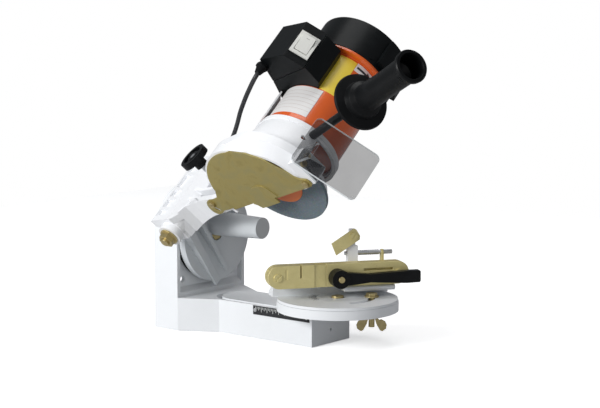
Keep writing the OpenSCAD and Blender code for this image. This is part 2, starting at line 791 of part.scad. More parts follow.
module stator() color("dimgrey") {
    on_motor() tube(motor_radius - motor_wall - shaft_gap, stator_inner, core_front, core_back);
}
module bearings() color("silver") {
    on_motor() {
        tube(bearing_radius - shaft_gap, shaft_radius + shaft_gap, ring_back, ring_back + bearing_width);
        tube(bearing_radius - shaft_gap, shaft_radius + shaft_gap, motor_back - bearing_width, motor_back);
    }
}
module motor_shaft() color("silver") {
    on_motor() {
        rod(shaft_radius, wheel_plane - 14, fan_back + 4);
        rod(rotor_radius, core_front, core_back);
    }
}
module cooling_fan() color("black") {
    on_motor() difference() {
        union() {
            rod(fan_radius, fan_front, fan_front + 2);
            rod(shaft_radius + 6, fan_front, fan_back);
            for (i = [0:fan_blades - 1]) rotate([0, 0, i * 360 / fan_blades])
                translate([shaft_radius, -1, fan_front]) cube([fan_radius - shaft_radius - 3, 2, fan_back - fan_front]);
        }
        rod(shaft_radius + fit_gap, fan_front - through, fan_back + through);
    }
}
module fan_cap() color("black") {
    on_motor() difference() {
        union() {
            rod(cap_radius, motor_back, motor_back + cap_depth);
            translate([0, 0, cap_box_front]) linear_extrude(cap_box_back - cap_box_front) intersection() {
                circle(r = cap_radius + cap_box_high);
                sector(cap_radius, 0, cap_box_sweep);
            }
            for (turn = [-8, 112, 232]) rotate([0, 90, turn]) translate([-motor_back - 8, 0, cap_radius - 1])
                rod(3.2, 0, 2.2);
        }
        rod(cap_radius - cap_wall, motor_back - through, motor_back + cap_depth - cap_wall);
        for (i = [0:vent_count - 1]) rotate([0, 0, (i + 0.5) * 360 / vent_count])
            translate([vent_radius - 14, -vent_half, motor_back + cap_depth - 2 * cap_wall])
                cube([28, 2 * vent_half, 4 * cap_wall]);
    }
}
module rating_plate() color("silver") {
    on_motor() translate([0, 0, plate_front]) linear_extrude(plate_back - plate_front) intersection() {
        difference() {
            circle(r = motor_radius + label_thick);
            circle(r = motor_radius + fit_gap);
        }
        sector(motor_radius, -plate_angle - plate_sweep, plate_sweep);
    }
}

module switch_top() color("darkslategrey") {
    on_arm() difference() {
        slab(box_front, box_back) translate([wheel_reach, 0]) polygon(box_top_points);
        on_switch_face() translate([0, 0, -frame_sunk - through]) linear_extrude(frame_sunk + 2 * through)
            square([frame_wide - 4, frame_long - 4], center = true);
        translate([gland_u, box_front + 6, gland_n]) rotate([90, 0, 0]) cylinder(h = 20, r = 4 + fit_gap);
    }
}
module on_switch_face() translate([face_top[0], frame_m, face_top[1]]) rotate([0, face_slope, 0])
    translate([frame_along, 0, 0]) children();
module switch_low() color("darkslategrey") {
    difference() {
        on_arm() slab(box_front, box_back - 3) translate([wheel_reach, 0]) polygon(box_low_points);
        on_motor() rod(motor_radius + 0.1, ring_back, motor_back - end_flange);
    }
}
module switch_frame() color("white") {
    on_arm() on_switch_face() difference() {
        union() {
            linear_extrude(frame_high) square([frame_wide, frame_long], center = true);
            translate([0, 0, -frame_sunk]) linear_extrude(frame_sunk)
                square([frame_wide - 4.4, frame_long - 4.4], center = true);
        }
        translate([0, 0, -frame_sunk + 2]) linear_extrude(frame_sunk + frame_high)
            square([frame_wide - 2 * frame_rim, frame_long - 2 * frame_rim], center = true);
        rocker_pivot(rocker_pin + shaft_gap, frame_wide - frame_rim);
    }
}
module rocker_pivot(radius, long) translate([0, 0, rocker_axis]) rotate([0, 90, 0])
    cylinder(h = long, r = radius, center = true);
module rocker() color("white") {
    on_arm() on_switch_face() {
        translate([-(frame_wide - 2 * frame_rim - 2 * rocker_gap) / 2, 0, 0])
            rotate([90, 0, 90]) linear_extrude(frame_wide - 2 * frame_rim - 2 * rocker_gap)
                polygon([[-12, -1.2], [-12, 1.6], [-11.4, 2.2], [0, 3.2], [11.9, 7.2], [12.4, 6.6], [11, -1],
                    [3, -5.4], [-3, -5.4]]);
        rocker_pivot(rocker_pin, frame_wide - frame_rim - 1);
    }
}
module cable_gland() color("black") {
    on_arm() translate([gland_u, box_front, gland_n]) rotate([90, 0, 0]) difference() {
        union() {
            hexagon(gland_radius + 1.5, 0, 5);
            translate([0, 0, 5]) cylinder(h = gland_length - 5, r1 = gland_radius, r2 = mains_radius + 1.5);
            rod(4, -5, 0);
        }
        rod(mains_radius + 0.8, gland_length - 4.6, gland_length + through);
    }
}

module handle_rod() color("darkslategrey") {
    on_handle() {
        rod(rod_radius, rod_start, rod_end);
        translate([0, 0, rod_start]) sphere(r = rod_radius);
    }
}
module handle_grip() color("black") {
    on_handle() rotate_extrude() polygon([[rod_radius + fit_gap, stop_at], [hand_stop_radius - 2, stop_at],
        [hand_stop_radius, stop_at + 2], [hand_stop_radius - 1, stop_at + stop_thick], [24, stop_at + stop_thick + 2],
        [22, stop_at + 15], [grip_radius + 0.5, stop_at + 19], [grip_radius - 0.5, stop_at + 70],
        [grip_radius, stop_at + grip_length - 12], [20, stop_at + grip_length - 6], [20.5, stop_at + grip_length - 2],
        [19.5, stop_at + grip_length], [16, stop_at + grip_length], [15, stop_at + grip_length - 3],
        [14, stop_at + grip_length - 26], [6, stop_at + grip_length - 30], [6, rod_end + 1],
        [rod_radius + fit_gap, rod_end + 1]]);
}

// supply cord
function unit(v) = v / norm(v);
function heading(path, i) = unit(path[min(i + 1, len(path) - 1)] - path[max(i - 1, 0)]);
function blend_at(p, i, t) = 0.5 * (2 * p[i] + (p[i + 1] - p[i - 1]) * t
    + (2 * p[i - 1] - 5 * p[i] + 4 * p[i + 1] - p[i + 2]) * t * t
    + (3 * p[i] - p[i - 1] - 3 * p[i + 1] + p[i + 2]) * t * t * t);
function smooth(p, steps) = concat([for (i = [1:len(p) - 3], k = [0:steps - 1]) blend_at(p, i, k / steps)],
    [p[len(p) - 2]]);
function ring(path, i, across, sides) = let (t = heading(path, i), a = unit(cross(t, across)), b = cross(a, t))
    [for (k = [0:sides - 1]) path[i] + mains_radius * (cos(k * 360 / sides) * a + sin(k * 360 / sides) * b)];
module swept(path, across, sides) {
    last = len(path) - 1;
    polyhedron(points = [for (i = [0:last]) each ring(path, i, across, sides)],
        faces = concat([[for (k = [0:sides - 1]) k]],
            [for (i = [0:last - 1], k = [0:sides - 1]) let (n = (k + 1) % sides)
                [i * sides + k, (i + 1) * sides + k, (i + 1) * sides + n, i * sides + n]],
            [[for (k = [sides - 1:-1:0]) last * sides + k]]));
}
module cord_upper() color("black") on_arm() swept(smooth(upper_points, 3), [0, 0, 1], 8);
module cord_middle() color("black") on_tilt() swept(smooth(middle_points, 3), [0, 0, 1], 8);
module cord_lower() color("black") swept(smooth(lower_points, 3), [1, 1, 1], 8);
function coil_radius(a) = a < coil_layer ? coil_outer - coil_pitch * a / 360
    : coil_outer - coil_pitch * coil_layer / 360 + coil_pitch * max(0, a - coil_layer - coil_rise) / 360;
function coil_height(a) = mains_radius + 0.05 + coil_pitch * min(1, max(0, (a - coil_layer) / coil_rise));
function coil_at(a) = [coil_x + coil_radius(a) * cos(a), coil_y + coil_radius(a) * sin(a), coil_height(a)];
coil_sweep = 2 * coil_layer + coil_rise;
coil_last = coil_at(coil_sweep);
coil_heading = [-sin(coil_sweep), cos(coil_sweep), 0];
function coil_path() = concat([for (i = [0:coil_steps]) coil_at(i * coil_sweep / coil_steps)],
    [for (t = [1:3]) coil_last + coil_heading * coil_tail * t / 3 + [0, 0, tail_rise * (t == 1 ? 0.25 : (t == 2 ? 0.8 : 1))]]);
function coil_gap(turn) = min([for (i = [0:coil_steps - turn], k = [i + turn:coil_steps])
    norm(coil_at(k * coil_sweep / coil_steps) - coil_at(i * coil_sweep / coil_steps))]) - 2 * mains_radius;
echo(least_coil_gap = coil_gap(12));
module cord_coil() color("black") swept(coil_path(), [0, 0, 1], 6);
module on_plug() translate(coil_last + coil_heading * coil_tail + [0, 0, tail_rise])
    rotate([0, 90, coil_sweep + 90]) children();
module plug_body() color("black") {
    on_plug() difference() {
        rotate_extrude() polygon([[0, -3], [mains_radius + 1.5, -3], [mains_radius + 2.5, 12], [12, 16], [14, 30],
            [plug_radius, 36], [plug_radius, plug_length], [0, plug_length]]);
        rod(mains_radius + 0.02, -4, 0);
        rod(17.5, plug_length - 2, plug_length + through);
        for (side = [-1, 1]) translate([0, side * 9.5, 0]) rod(2.4 + fit_gap, plug_length - 14, plug_length);
    }
}
module plug_pins() color("silver") {
    on_plug() for (side = [-1, 1]) translate([0, side * 9.5, 0]) {
        rod(2.4, plug_length - 14, plug_length + 15);
        translate([0, 0, plug_length + 15]) cylinder(h = 2, r1 = 2.4, r2 = 1.4);
    }
}

module grinding_wheel() color("slategrey") {
    on_motor() tube(wheel_radius, wheel_bore, wheel_plane - wheel_thickness / 2, wheel_plane + wheel_thickness / 2);
}
module wheel_hub() color("silver") {
    on_motor() difference() {
        union() {
            rod(wheel_hub_radius, wheel_plane + wheel_thickness / 2, wheel_plane + wheel_thickness / 2 + wheel_hub_width);
            rod(wheel_bore - fit_gap, wheel_plane - wheel_thickness / 2, wheel_plane + wheel_thickness / 2);
        }
        rod(shaft_radius + fit_gap, wheel_plane - 20, wheel_plane + 20);
    }
}
module wheel_flange() color("orangered") {
    on_motor() tube(label_radius, shaft_radius + fit_gap, wheel_plane - wheel_thickness / 2 - 1,
        wheel_plane - wheel_thickness / 2);
}
module wheel_nut() color("goldenrod") {
    on_motor() difference() {
        hexagon(wheel_nut_radius, wheel_plane - wheel_thickness / 2 - 1 - wheel_nut_height,
            wheel_plane - wheel_thickness / 2 - 1);
        rod(shaft_radius + fit_gap, wheel_plane - 20, wheel_plane);
    }
}

module eye_shield() color("lightgrey") {
    on_arm() difference() {
        union() {
            rotate([0, -shield_turn, 0]) translate([shield_plane, shield_m, shield_top - shield_height / 2])
                rotate([0, 90, 0]) linear_extrude(shield_thickness) rounded(shield_height, shield_width, shield_round);
            translate([pad_face, pad_front, pad_low + 2]) cube([shield_thickness, pad_end - pad_front, pad_high - pad_low - 2]);
            slab(pad_front, pad_end) polygon([[pad_face, pad_high - shield_thickness], [pad_face, pad_high], [shield_join, pad_high],
                [shield_join + shield_thickness * tan(shield_turn), pad_high - shield_thickness]]);
        }
        at_rim_bolts() rod(cover_screw_radius + fit_gap, -through, 10);
    }
}
module rounded(long, wide, round) {
    square([long - 2 * round, wide], center = true);
    square([long, wide - 2 * round], center = true);
    for (x = [-1, 1], y = [-1, 1]) translate([x * (long / 2 - round), y * (wide / 2 - round)]) circle(r = round);
}
module depth_screw() color("silver") {
    on_arm() translate([screw_u, screw_m, 0]) {
        rod(depth_screw_radius, depth_tip + 2, depth_end);
        translate([0, 0, depth_tip]) cylinder(h = 2, r1 = depth_screw_radius - 2, r2 = depth_screw_radius);
    }
}
module depth_wheel() color("black") {
    on_arm() translate([screw_u, screw_m, 0]) difference() {
        union() {
            tube(handwheel_radius, handwheel_radius - rim_width, wheel_rim_low, wheel_rim_high);
            rod(hub_radius, hub_low, wheel_rim_high - 1);
            for (i = [0:spokes - 1]) rotate([0, 0, 30 + i * 360 / spokes])
                translate([0, -spoke_half, wheel_rim_low + 1])
                    cube([handwheel_radius - 2, 2 * spoke_half, wheel_rim_high - wheel_rim_low - 2]);
        }
        rod(depth_screw_radius + shaft_gap, hub_low - through, wheel_rim_high + through);
    }
}

module carriage() color("white") {
    difference() {
        union() {
            translate([0, 0, guide_low]) linear_extrude(carriage_top - guide_low)
                u_shape(slot_half - slot_gap, slot_centre + slot_rest_gap, swivel_x);
            translate([swivel_x, 0, table_bottom]) cylinder(h = table_thickness, r = table_radius);
        }
        translate([clamp_bolt_x, 0, guide_low - through]) cylinder(h = 60, r = clamp_bolt_radius + fit_gap);
        translate([clamp_bolt_x, 0, table_top - 6]) cylinder(h = 7, r = 9);
        translate([swivel_x, 0, guide_low - through]) cylinder(h = 60, r = swivel_bolt_radius + shaft_gap);
        at_swivel_bolt() cylinder(h = 90, r = swivel_bolt_radius + fit_gap);
    }
}
module at_swivel_bolt() translate([swivel_x, 0, 0]) rotate([0, 0, bolt_angle])
    translate([swivel_bolt_ring, 0, 0]) children();
module arc_slot() {
    start = bolt_angle - vice_turn - swivel_range - 1;
    sweep = swivel_range + 2 + max(0, vice_turn - 55);
    difference() {
        circle(r = swivel_bolt_ring + swivel_bolt_radius + arc_gap);
        circle(r = swivel_bolt_ring - swivel_bolt_radius - arc_gap);
        sector(swivel_bolt_ring, start + sweep, 360 - sweep);
    }
    for (turn = [start, start + sweep]) rotate([0, 0, turn]) translate([swivel_bolt_ring, 0])
        circle(r = swivel_bolt_radius + arc_gap - 0.3);
}
module slide_clamp() color("goldenrod") {
    translate([clamp_bolt_x, 0, 0]) {
        rod(clamp_bolt_radius, tongue_height - deck - clamp_plate_high - clamp_nut_high - 2, table_top - 6);
        hexagon(7.5, table_top - 6, table_top - 1);
        translate([-16, -14, tongue_height - deck - face_gap - clamp_plate_high]) cube([32, 28, clamp_plate_high]);
        rod(9, tongue_height - deck - face_gap - clamp_plate_high - clamp_nut_high,
            tongue_height - deck - face_gap - clamp_plate_high);
    }
}
module bar_shape(from, to, round_left, round_right) {
    translate([from + (round_left ? rail_round : 0), rail_bottom])
        square([to - from - (round_left ? rail_round : 0) - (round_right ? rail_round : 0), rail_height]);
    if (round_left) translate([from + rail_round, rail_bottom + rail_round]) circle(r = rail_round);
    if (round_right) translate([to - rail_round, rail_bottom + rail_round]) circle(r = rail_round);
}
module vice_support() color("white") {
    on_vice() difference() {
        union() {
            translate([0, 0, table_top + face_gap]) cylinder(h = swivel_disc, r = table_radius - 1);
            slide_along(-80, 79) polygon([[30, vice_foot - 1], [52, vice_foot - 1], [52, vice_foot + 4],
                [42, vice_foot + 9], [40, shelf_top], [shelf_front, shelf_top], [shelf_front, rail_bottom + 2],
                [28, rail_bottom]]);
            slide_along(8, 77) polygon([[-5, rail_bottom - 8], [-8, rail_bottom - 5], [-7, rail_bottom - 2],
                [-4, rail_bottom - face_gap], [32, rail_bottom - face_gap], [34, rail_bottom - 8]]);
        }
        translate([0, 0, table_top - through]) cylinder(h = 20, r = swivel_bolt_radius + fit_gap);
        translate([0, 0, disc_top - 1.5]) cylinder(h = 20, r = 9);
        translate([0, 0, table_top - through]) linear_extrude(swivel_disc + 2 * through) arc_slot();
        translate([0, 0, disc_top]) linear_extrude(7.5) intersection() {
            circle(r = swivel_bolt_ring + 13);
            sector(swivel_bolt_ring, bolt_angle - vice_turn - swivel_range - 14, swivel_range + 28);
        }
        at_rail_bolts() cylinder(h = 60, r = 3 + fit_gap, center = true);
        at_pawl_slot() cube([31, 12, 60]);
    }
}
module slide_along(from, to) translate([from, 0, 0]) rotate([90, 0, 90]) linear_extrude(to - from) children();
module at_rail_bolts() for (t = [rail_screw_at, rail_bolt_at]) translate([t, 0, rail_bottom + rail_round - 0.5])
    rotate([90, 0, 0]) children();
module at_pawl_slot() translate([post_at - 13, shelf_front - through, rail_bottom + 8]) children();
module swivel_bolt() color("goldenrod") {
    at_swivel_bolt() {
        rod(swivel_bolt_radius, table_bottom - 24, disc_top + 1);
        rod(9.5, disc_top + face_gap, disc_top + 1.8);
        hexagon(7.5, disc_top + 1.8, disc_top + 5.5);
    }
}
module swivel_pin() color("goldenrod") {
    on_vice() {
        rod(swivel_bolt_radius, guide_low + 1, disc_top - 1.5);
        rod(8, disc_top - 1.5, disc_top + 2.5);
    }
}
module wing_nut() color("goldenrod") {
    at_swivel_bolt() translate([0, 0, table_bottom - face_gap]) difference() {
        union() {
            rod(wing_nut_radius + 1.5, -2, 0);
            translate([0, 0, -2 - wing_nut_high]) cylinder(h = wing_nut_high, r1 = wing_nut_radius - 2, r2 = wing_nut_radius);
            rotate([0, 0, -6]) slab(-wing_thick / 2, wing_thick / 2) for (side = [-1, 1])
                polygon([[side * 3, -5], [side * 6, -8], [side * 10, -14.5], [side * 13, -13.6], [side * 18, -16.5],
                    [side * wing_reach, -21], [side * (wing_reach - 1), -26], [side * (wing_reach - 6), -29.5],
                    [side * 11, -28], [side * 6.5, -20], [side * 4, -12]]);
        }
        translate([0, 0, -40]) cylinder(h = 41, r = swivel_bolt_radius + shaft_gap);
    }
}

module back_rail() color("khaki") {
    on_vice() difference() {
        slab(chain_groove / 2, chain_groove / 2 + rail_thickness) bar_shape(-rail_half, rail_half, true, true);
        at_rail_bolts() cylinder(h = 60, r = 3 + fit_gap, center = true);
        lever_bore(pin_radius + fit_gap);
    }
}
module rail_web() color("khaki") {
    on_vice() translate([front_rail_end, -chain_groove / 2 - rail_thickness + 1.5, rail_bottom])
        cube([block_end - front_rail_end, rail_thickness - 1.5, rail_height - 1]);
    on_vice() difference() {
        slab(-chain_groove / 2, chain_groove / 2)
            polygon([[-rail_half + 14, rail_bottom], [rail_half - 14, rail_bottom],
                [rail_half - 8, rail_bottom + rail_height - groove_deep - 4],
                [rail_half - 14, rail_bottom + rail_height - groove_deep],
                [-rail_half + 14, rail_bottom + rail_height - groove_deep],
                [-rail_half + 8, rail_bottom + rail_height - groove_deep - 4]]);
        at_rail_bolts() cylinder(h = 60, r = 3 + fit_gap, center = true);
        lever_bore(pin_radius + fit_gap);
    }
}
module front_rail() color("khaki") {
    on_vice() difference() {
        slab(-chain_groove / 2 - rail_thickness, -chain_groove / 2) bar_shape(-rail_half, front_rail_end, true, false);
        at_rail_bolts() cylinder(h = 60, r = 3 + fit_gap, center = true);
        translate([rail_seam_at, -chain_groove / 2 - rail_thickness - through, rail_bottom + rail_height - 17])
            cube([1.8, rail_thickness + 2 * through, 20]);
        translate([rail_slot_at, -chain_groove / 2 - rail_thickness - through, rail_bottom + rail_height - 18])
            cube([3, 1.6, 13]);
    }
}
module rail_screws() color("khaki") {
    on_vice() difference() {
        union() {
            rail_screw(rail_screw_at, chain_groove / 2 + rail_thickness);
            rail_screw(rail_bolt_at, chain_groove / 2 + jaw_gap + rail_thickness - 1.5);
        }
    }
}
module rail_screw(along, out) translate([along, -out, rail_bottom + rail_round - 0.5]) rotate([90, 0, 0])
    difference() {
        union() {
            rod(rail_screw_head, 0, 1.6);
            rod(3, -out - chain_groove / 2 - rail_thickness, 0);
        }
        rotate([0, 0, 50]) translate([-8, -0.6, 0.8]) cube([16, 1.2, 2]);
    }
module lever_bore(radius) translate([lever_at, 0, rail_bottom + 12]) rotate([90, 0, 0])
    cylinder(h = 60, r = radius, center = true);
module moving_jaw() color("khaki") {
    on_vice() difference() {
        translate([0, -chain_groove / 2 - jaw_gap, 0]) rotate([90, 0, 0]) linear_extrude(rail_thickness - 2) difference() {
            bar_shape(block_end + 0.5, rail_half, false, true);
            translate([34, rail_bottom + 19]) square([40, 3]);
            translate([rail_bolt_at, rail_bottom + rail_round - 0.5]) circle(r = 3 + 2 * arc_gap);
        }
        lever_bore(pin_radius + 0.4);
    }
}
module clamp_pin() color("goldenrod") {
    on_vice() translate([lever_at, 0, rail_bottom + 12]) rotate([90, 0, 0])
        rod(pin_radius, -chain_groove / 2 - rail_thickness, chain_groove / 2 + lever_hub_out + 10);
}
module clamp_lever() color("black") {
    on_vice() translate([lever_at, -chain_groove / 2 - jaw_gap - rail_thickness + 2 - face_gap, rail_bottom + 12])
        rotate([90, 0, 0]) difference() {
            union() {
                rod(lever_hub_radius, 0, lever_hub_out);
                translate([0, -lever_high / 2, lever_hub_out - lever_thick - 2]) linear_extrude(lever_thick)
                    polygon([[0, -2], [14, -1.5], [40, 1.5], [90, -1.5], [lever_reach - 1, -1], [lever_reach, 1],
                        [lever_reach, 13], [lever_reach - 1, 14.5], [90, 14.5], [40, 12], [14, 15], [0, 15.5]]);
            }
            rod(pin_radius + shaft_gap, -through, lever_hub_out + through);
        }
}

module stop_slider() color("white") {
    on_vice() difference() {
        union() {
            translate([post_at - stop_block_half, post_front, rail_bottom + 9])
                cube([2 * stop_block_half, 9, stop_block_high - rail_bottom - 9]);
            translate([post_at, post_front + 4.5, stop_block_high])
                cylinder(h = post_top - stop_block_high, r = post_radius);
        }
        at_pawl() rod(2.5 + fit_gap, -40, 40);
        at_spindle() cylinder(h = 2 * rail_half, r = spindle_radius + shaft_gap, center = true);
    }
}
module at_spindle() translate([0, post_front + 4.5, spindle_height]) rotate([0, 90, 0]) children();
module at_pawl() translate([post_at, post_front, pawl_height]) rotate([90, 0, 0]) children();
module stop_screw() color("khaki") {
    on_vice() at_pawl() difference() {
        union() {
            rod(5, pawl_thick + 0.6, pawl_thick + 2.6);
            rod(2.5, -7, pawl_thick + 0.6);
        }
        rotate([0, 0, 55]) translate([-8, -0.6, pawl_thick + 1.8]) cube([16, 1.2, 2]);
    }
}
module stop_pawl() color("khaki") {
    on_vice() at_pawl() translate([0, 0, face_gap]) rotate([0, 0, pawl_turn]) difference() {
        linear_extrude(pawl_thick) {
            polygon([[pawl_tail - 3, -pawl_half], [pawl_tail, -pawl_half + 4], [pawl_tail, pawl_half - 3],
                [pawl_tail - 2, pawl_half], [-pawl_tip + 1.4, pawl_half], [-pawl_tip - 1.4, -pawl_half]]);
        }
        translate([0, 0, -through]) cylinder(h = pawl_thick + 2 * through, r = 2.5 + shaft_gap);
    }
}
module stop_bracket() color("khaki") {
    on_vice() difference() {
        slide_along(63.5, 66.5) {
            translate([shelf_front, rail_bottom + 16]) square([9, spindle_height - rail_bottom - 16]);
            translate([post_front + 4.5, spindle_height]) circle(r = 3.8);
        }
        at_spindle() cylinder(h = 2 * rail_half, r = spindle_radius + shaft_gap, center = true);
    }
}
module stop_spindle() color("silver") {
    on_vice() at_spindle() {
        rod(spindle_radius, post_at - stop_block_half - 3, spindle_shoulder);
        rod(spring_radius, spindle_shoulder - 1, spindle_shoulder);
        for (t = [spindle_start:2.6:spindle_end]) rod(spring_radius, t, t + 1.4);
        difference() {
            translate([0, 0, spindle_shoulder]) linear_extrude(knurl_length) polygon([for (i = [0:2 * knurls - 1])
                (i % 2 == 0 ? knurl_radius : knurl_radius - 0.4) * [cos(i * 180 / knurls), sin(i * 180 / knurls)]]);
            translate([-5, -0.5, spindle_shoulder + knurl_length - 2]) cube([10, 1, 3]);
        }
    }
}

base_casting();
tilt_scale();
slide_scale();
scale_screws();
tilt_bracket();
tilt_bolt();
tilt_nut();
pivot_bolt();
pivot_nut();
arm_casting();
rim_bolts();
guard_cover();
cover_screws();
bell_housing();
motor_ring();
motor_shell();
stator();
bearings();
motor_shaft();
cooling_fan();
fan_cap();
rating_plate();
switch_top();
switch_low();
switch_frame();
rocker();
cable_gland();
handle_rod();
handle_grip();
grinding_wheel();
wheel_hub();
wheel_flange();
wheel_nut();
eye_shield();
depth_screw();
depth_wheel();
carriage();
slide_clamp();
vice_support();
swivel_pin();
swivel_bolt();
wing_nut();
back_rail();
rail_web();
front_rail();
rail_screws();
moving_jaw();
clamp_pin();
clamp_lever();
stop_slider();
stop_screw();
stop_pawl();
stop_bracket();
stop_spindle();
cord_upper();
cord_middle();
cord_lower();
cord_coil();
plug_body();
plug_pins();
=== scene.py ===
import json
import math

import bmesh
import bpy
from mathutils import Matrix, Vector

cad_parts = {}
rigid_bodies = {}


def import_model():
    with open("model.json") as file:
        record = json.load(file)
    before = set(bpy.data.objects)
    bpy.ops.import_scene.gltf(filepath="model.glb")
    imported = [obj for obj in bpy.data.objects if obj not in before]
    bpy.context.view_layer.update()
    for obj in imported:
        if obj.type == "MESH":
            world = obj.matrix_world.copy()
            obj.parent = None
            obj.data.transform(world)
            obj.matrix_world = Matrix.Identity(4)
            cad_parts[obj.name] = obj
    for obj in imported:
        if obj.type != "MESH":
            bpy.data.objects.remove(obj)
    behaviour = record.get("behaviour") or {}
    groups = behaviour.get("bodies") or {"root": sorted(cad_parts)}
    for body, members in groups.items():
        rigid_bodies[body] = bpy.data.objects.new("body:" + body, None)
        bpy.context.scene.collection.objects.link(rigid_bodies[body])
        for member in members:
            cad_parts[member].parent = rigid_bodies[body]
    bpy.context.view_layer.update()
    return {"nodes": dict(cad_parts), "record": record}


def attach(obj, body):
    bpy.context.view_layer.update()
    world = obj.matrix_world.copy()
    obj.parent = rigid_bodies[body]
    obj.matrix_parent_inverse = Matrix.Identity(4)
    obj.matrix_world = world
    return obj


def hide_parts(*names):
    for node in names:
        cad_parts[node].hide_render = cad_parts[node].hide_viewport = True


for leftover in list(bpy.data.objects):  # the start-up cube, lamp and camera
    bpy.data.objects.remove(leftover)
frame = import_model()
scene = bpy.context.scene
nodes = frame["nodes"]
bodies = frame["record"]["behaviour"]["bodies"]
bodyOfNode = {node: body for body, members in bodies.items() for node in members}


# places: each part of the machine has its own local axes, in millimetres and degrees
machine = {
    "tiltHeight": 128, "tiltAngle": 41,
    "pivot": (-72.5, 0, 70), "swingAngle": 22, "armSeat": (0.3, 0, -3.3),
    "motor": (195, 0, -6),
    "switch": (230, 137, 94), "switchLean": 63.4, "switchDepth": 15.5,
    "viceX": 136, "viceAngle": 55,
}


def turn(axis, degrees):
    return Matrix.Rotation(math.radians(degrees), 4, axis)


def move(x, y, z):
    return Matrix.Translation((x / 1000, y / 1000, z / 1000))


ownPlace = Matrix.Identity(4)
tiltPlace = move(0, 0, machine["tiltHeight"]) @ turn("X", machine["tiltAngle"])
armPlace = tiltPlace @ move(*machine["pivot"]) @ turn("Y", -machine["swingAngle"]) @ move(*machine["armSeat"])
motorPlace = armPlace @ move(*machine["motor"]) @ turn("X", -90)
switchPlace = armPlace @ move(*machine["switch"]) @ turn("Y", machine["switchLean"])
facePlace = switchPlace @ move(machine["switchDepth"], 0, 0)
vicePlace = move(machine["viceX"], 0, 0) @ turn("Z", machine["viceAngle"])


# camera
cameraLook = {
    "position": (1.49654, -1.73390, 0.46095),
    "right": (0.7727, 0.6348, 0.0006),
    "forward": (-0.6298, 0.7667, -0.1241),
    "lens": 102.42,
    "sensor": 36,
    "clip": (0.05, 40),
}


def makeCamera(look):
    forward = Vector(look["forward"]).normalized()
    right = Vector(look["right"]).normalized()
    up = right.cross(forward).normalized()
    right = forward.cross(up)
    data = bpy.data.cameras.new("Camera")
    data.lens = look["lens"]
    data.sensor_width = look["sensor"]
    data.clip_start, data.clip_end = look["clip"]
    camera = bpy.data.objects.new("Camera", data)
    scene.collection.objects.link(camera)
    axes = Matrix((right, up, -forward)).transposed().to_4x4()
    camera.matrix_world = Matrix.Translation(look["position"]) @ axes
    scene.camera = camera


makeCamera(cameraLook)
print("camera placed")


# shader maths: a wrapped socket that adds Math nodes for + - * / < and >
class Flow:
    def __init__(self, paint, socket):
        self.paint = paint
        self.socket = socket

    def maths(self, operation, *others):
        return self.paint.maths(operation, self, *others)

    def __add__(self, other):
        return self.maths("ADD", other)

    def __mul__(self, other):
        return self.maths("MULTIPLY", other)

    def __sub__(self, other):
        return self.maths("SUBTRACT", other)

    def __rsub__(self, other):
        return self.paint.maths("SUBTRACT", other, self)

    def __truediv__(self, other):
        return self.maths("DIVIDE", other)

    def __rtruediv__(self, other):
        return self.paint.maths("DIVIDE", other, self)

    def __gt__(self, other):
        return self.maths("GREATER_THAN", other)

    def __lt__(self, other):
        return self.maths("LESS_THAN", other)

    __radd__ = __add__
    __rmul__ = __mul__

    def step(self, low, high):  # 0 below low and 1 above high, or the other way where low is larger
        inputs = {"Value": self, "From Min": low, "From Max": high}
        return self.paint.add("ShaderNodeMapRange", {"interpolation_type": "SMOOTHSTEP"}, inputs)


class Paint:
    def __init__(self, name, slot, **fixed):
        self.material = bpy.data.materials.new(name)
        self.material.use_nodes = True
        self.slot = slot
        self.tree = self.material.node_tree
        self.shader = self.tree.nodes["Principled BSDF"]
        self.place = self.add("ShaderNodeTexCoord", {}, {}, "Object")
        for socket, value in fixed.items():
            self.shader.inputs[socket.replace("_", " ")].default_value = value

    def add(self, kind, settings, inputs, output=0):
        node = self.tree.nodes.new(kind)
        for key, value in settings.items():
            if key == "stops":
                self.setStops(node.color_ramp, value)
            else:
                setattr(node, key, value)
        for key, value in inputs.items():
            self.feed(node.inputs[key], value)
        return Flow(self, node.outputs[output])

    def setStops(self, ramp, stops):
        while len(ramp.elements) < len(stops):
            ramp.elements.new(0.5)
        for element, (at, colour) in zip(ramp.elements, stops):
            element.position = at
            element.color = (*colour, 1)

    def feed(self, socket, value):
        if isinstance(value, Flow):
            self.tree.links.new(value.socket, socket)
        else:
            socket.default_value = value

    def maths(self, operation, *values):
        return self.add("ShaderNodeMath", {"operation": operation}, dict(enumerate(values)))

    def vectorMaths(self, operation, output, *values):
        return self.add("ShaderNodeVectorMath", {"operation": operation}, dict(enumerate(values)), output)

    def noise(self, scale, detail=4, rough=0.55, warp=0.0, stretch=None):
        where = self.vectorMaths("MULTIPLY", 0, self.place, stretch) if stretch else self.place
        inputs = {"Vector": where, "Scale": scale, "Detail": detail, "Roughness": rough, "Distortion": warp}
        return self.add("ShaderNodeTexNoise", {}, inputs, "Fac")

    def cells(self, scale, output="Distance"):
        return self.add("ShaderNodeTexVoronoi", {}, {"Vector": self.place, "Scale": scale}, output)

    def along(self, place, axis):  # distance in metres along one axis of a local place
        direction = place.to_3x3().col["XYZ".index(axis)]
        run = self.vectorMaths("DOT_PRODUCT", "Value", self.place, tuple(direction))
        return run - direction.dot(place.translation)

    def mix(self, factor, first, second):
        wide = [value if isinstance(value, Flow) else (*value, 1) for value in (first, second)]
        # sockets 0, 6 and 7 and output 2 are the factor and the colours of the colour mix
        return self.add("ShaderNodeMix", {"data_type": "RGBA"}, {0: factor, 6: wide[0], 7: wide[1]}, 2)

    def colour(self, value):
        self.feed(self.shader.inputs["Base Color"], value if isinstance(value, Flow) else (*value, 1))

    def rough(self, value):
        self.feed(self.shader.inputs["Roughness"], value)

    def bump(self, height, distance):
        made = self.add("ShaderNodeBump", {}, {"Distance": distance, "Height": height})
        self.feed(self.shader.inputs["Normal"], made)


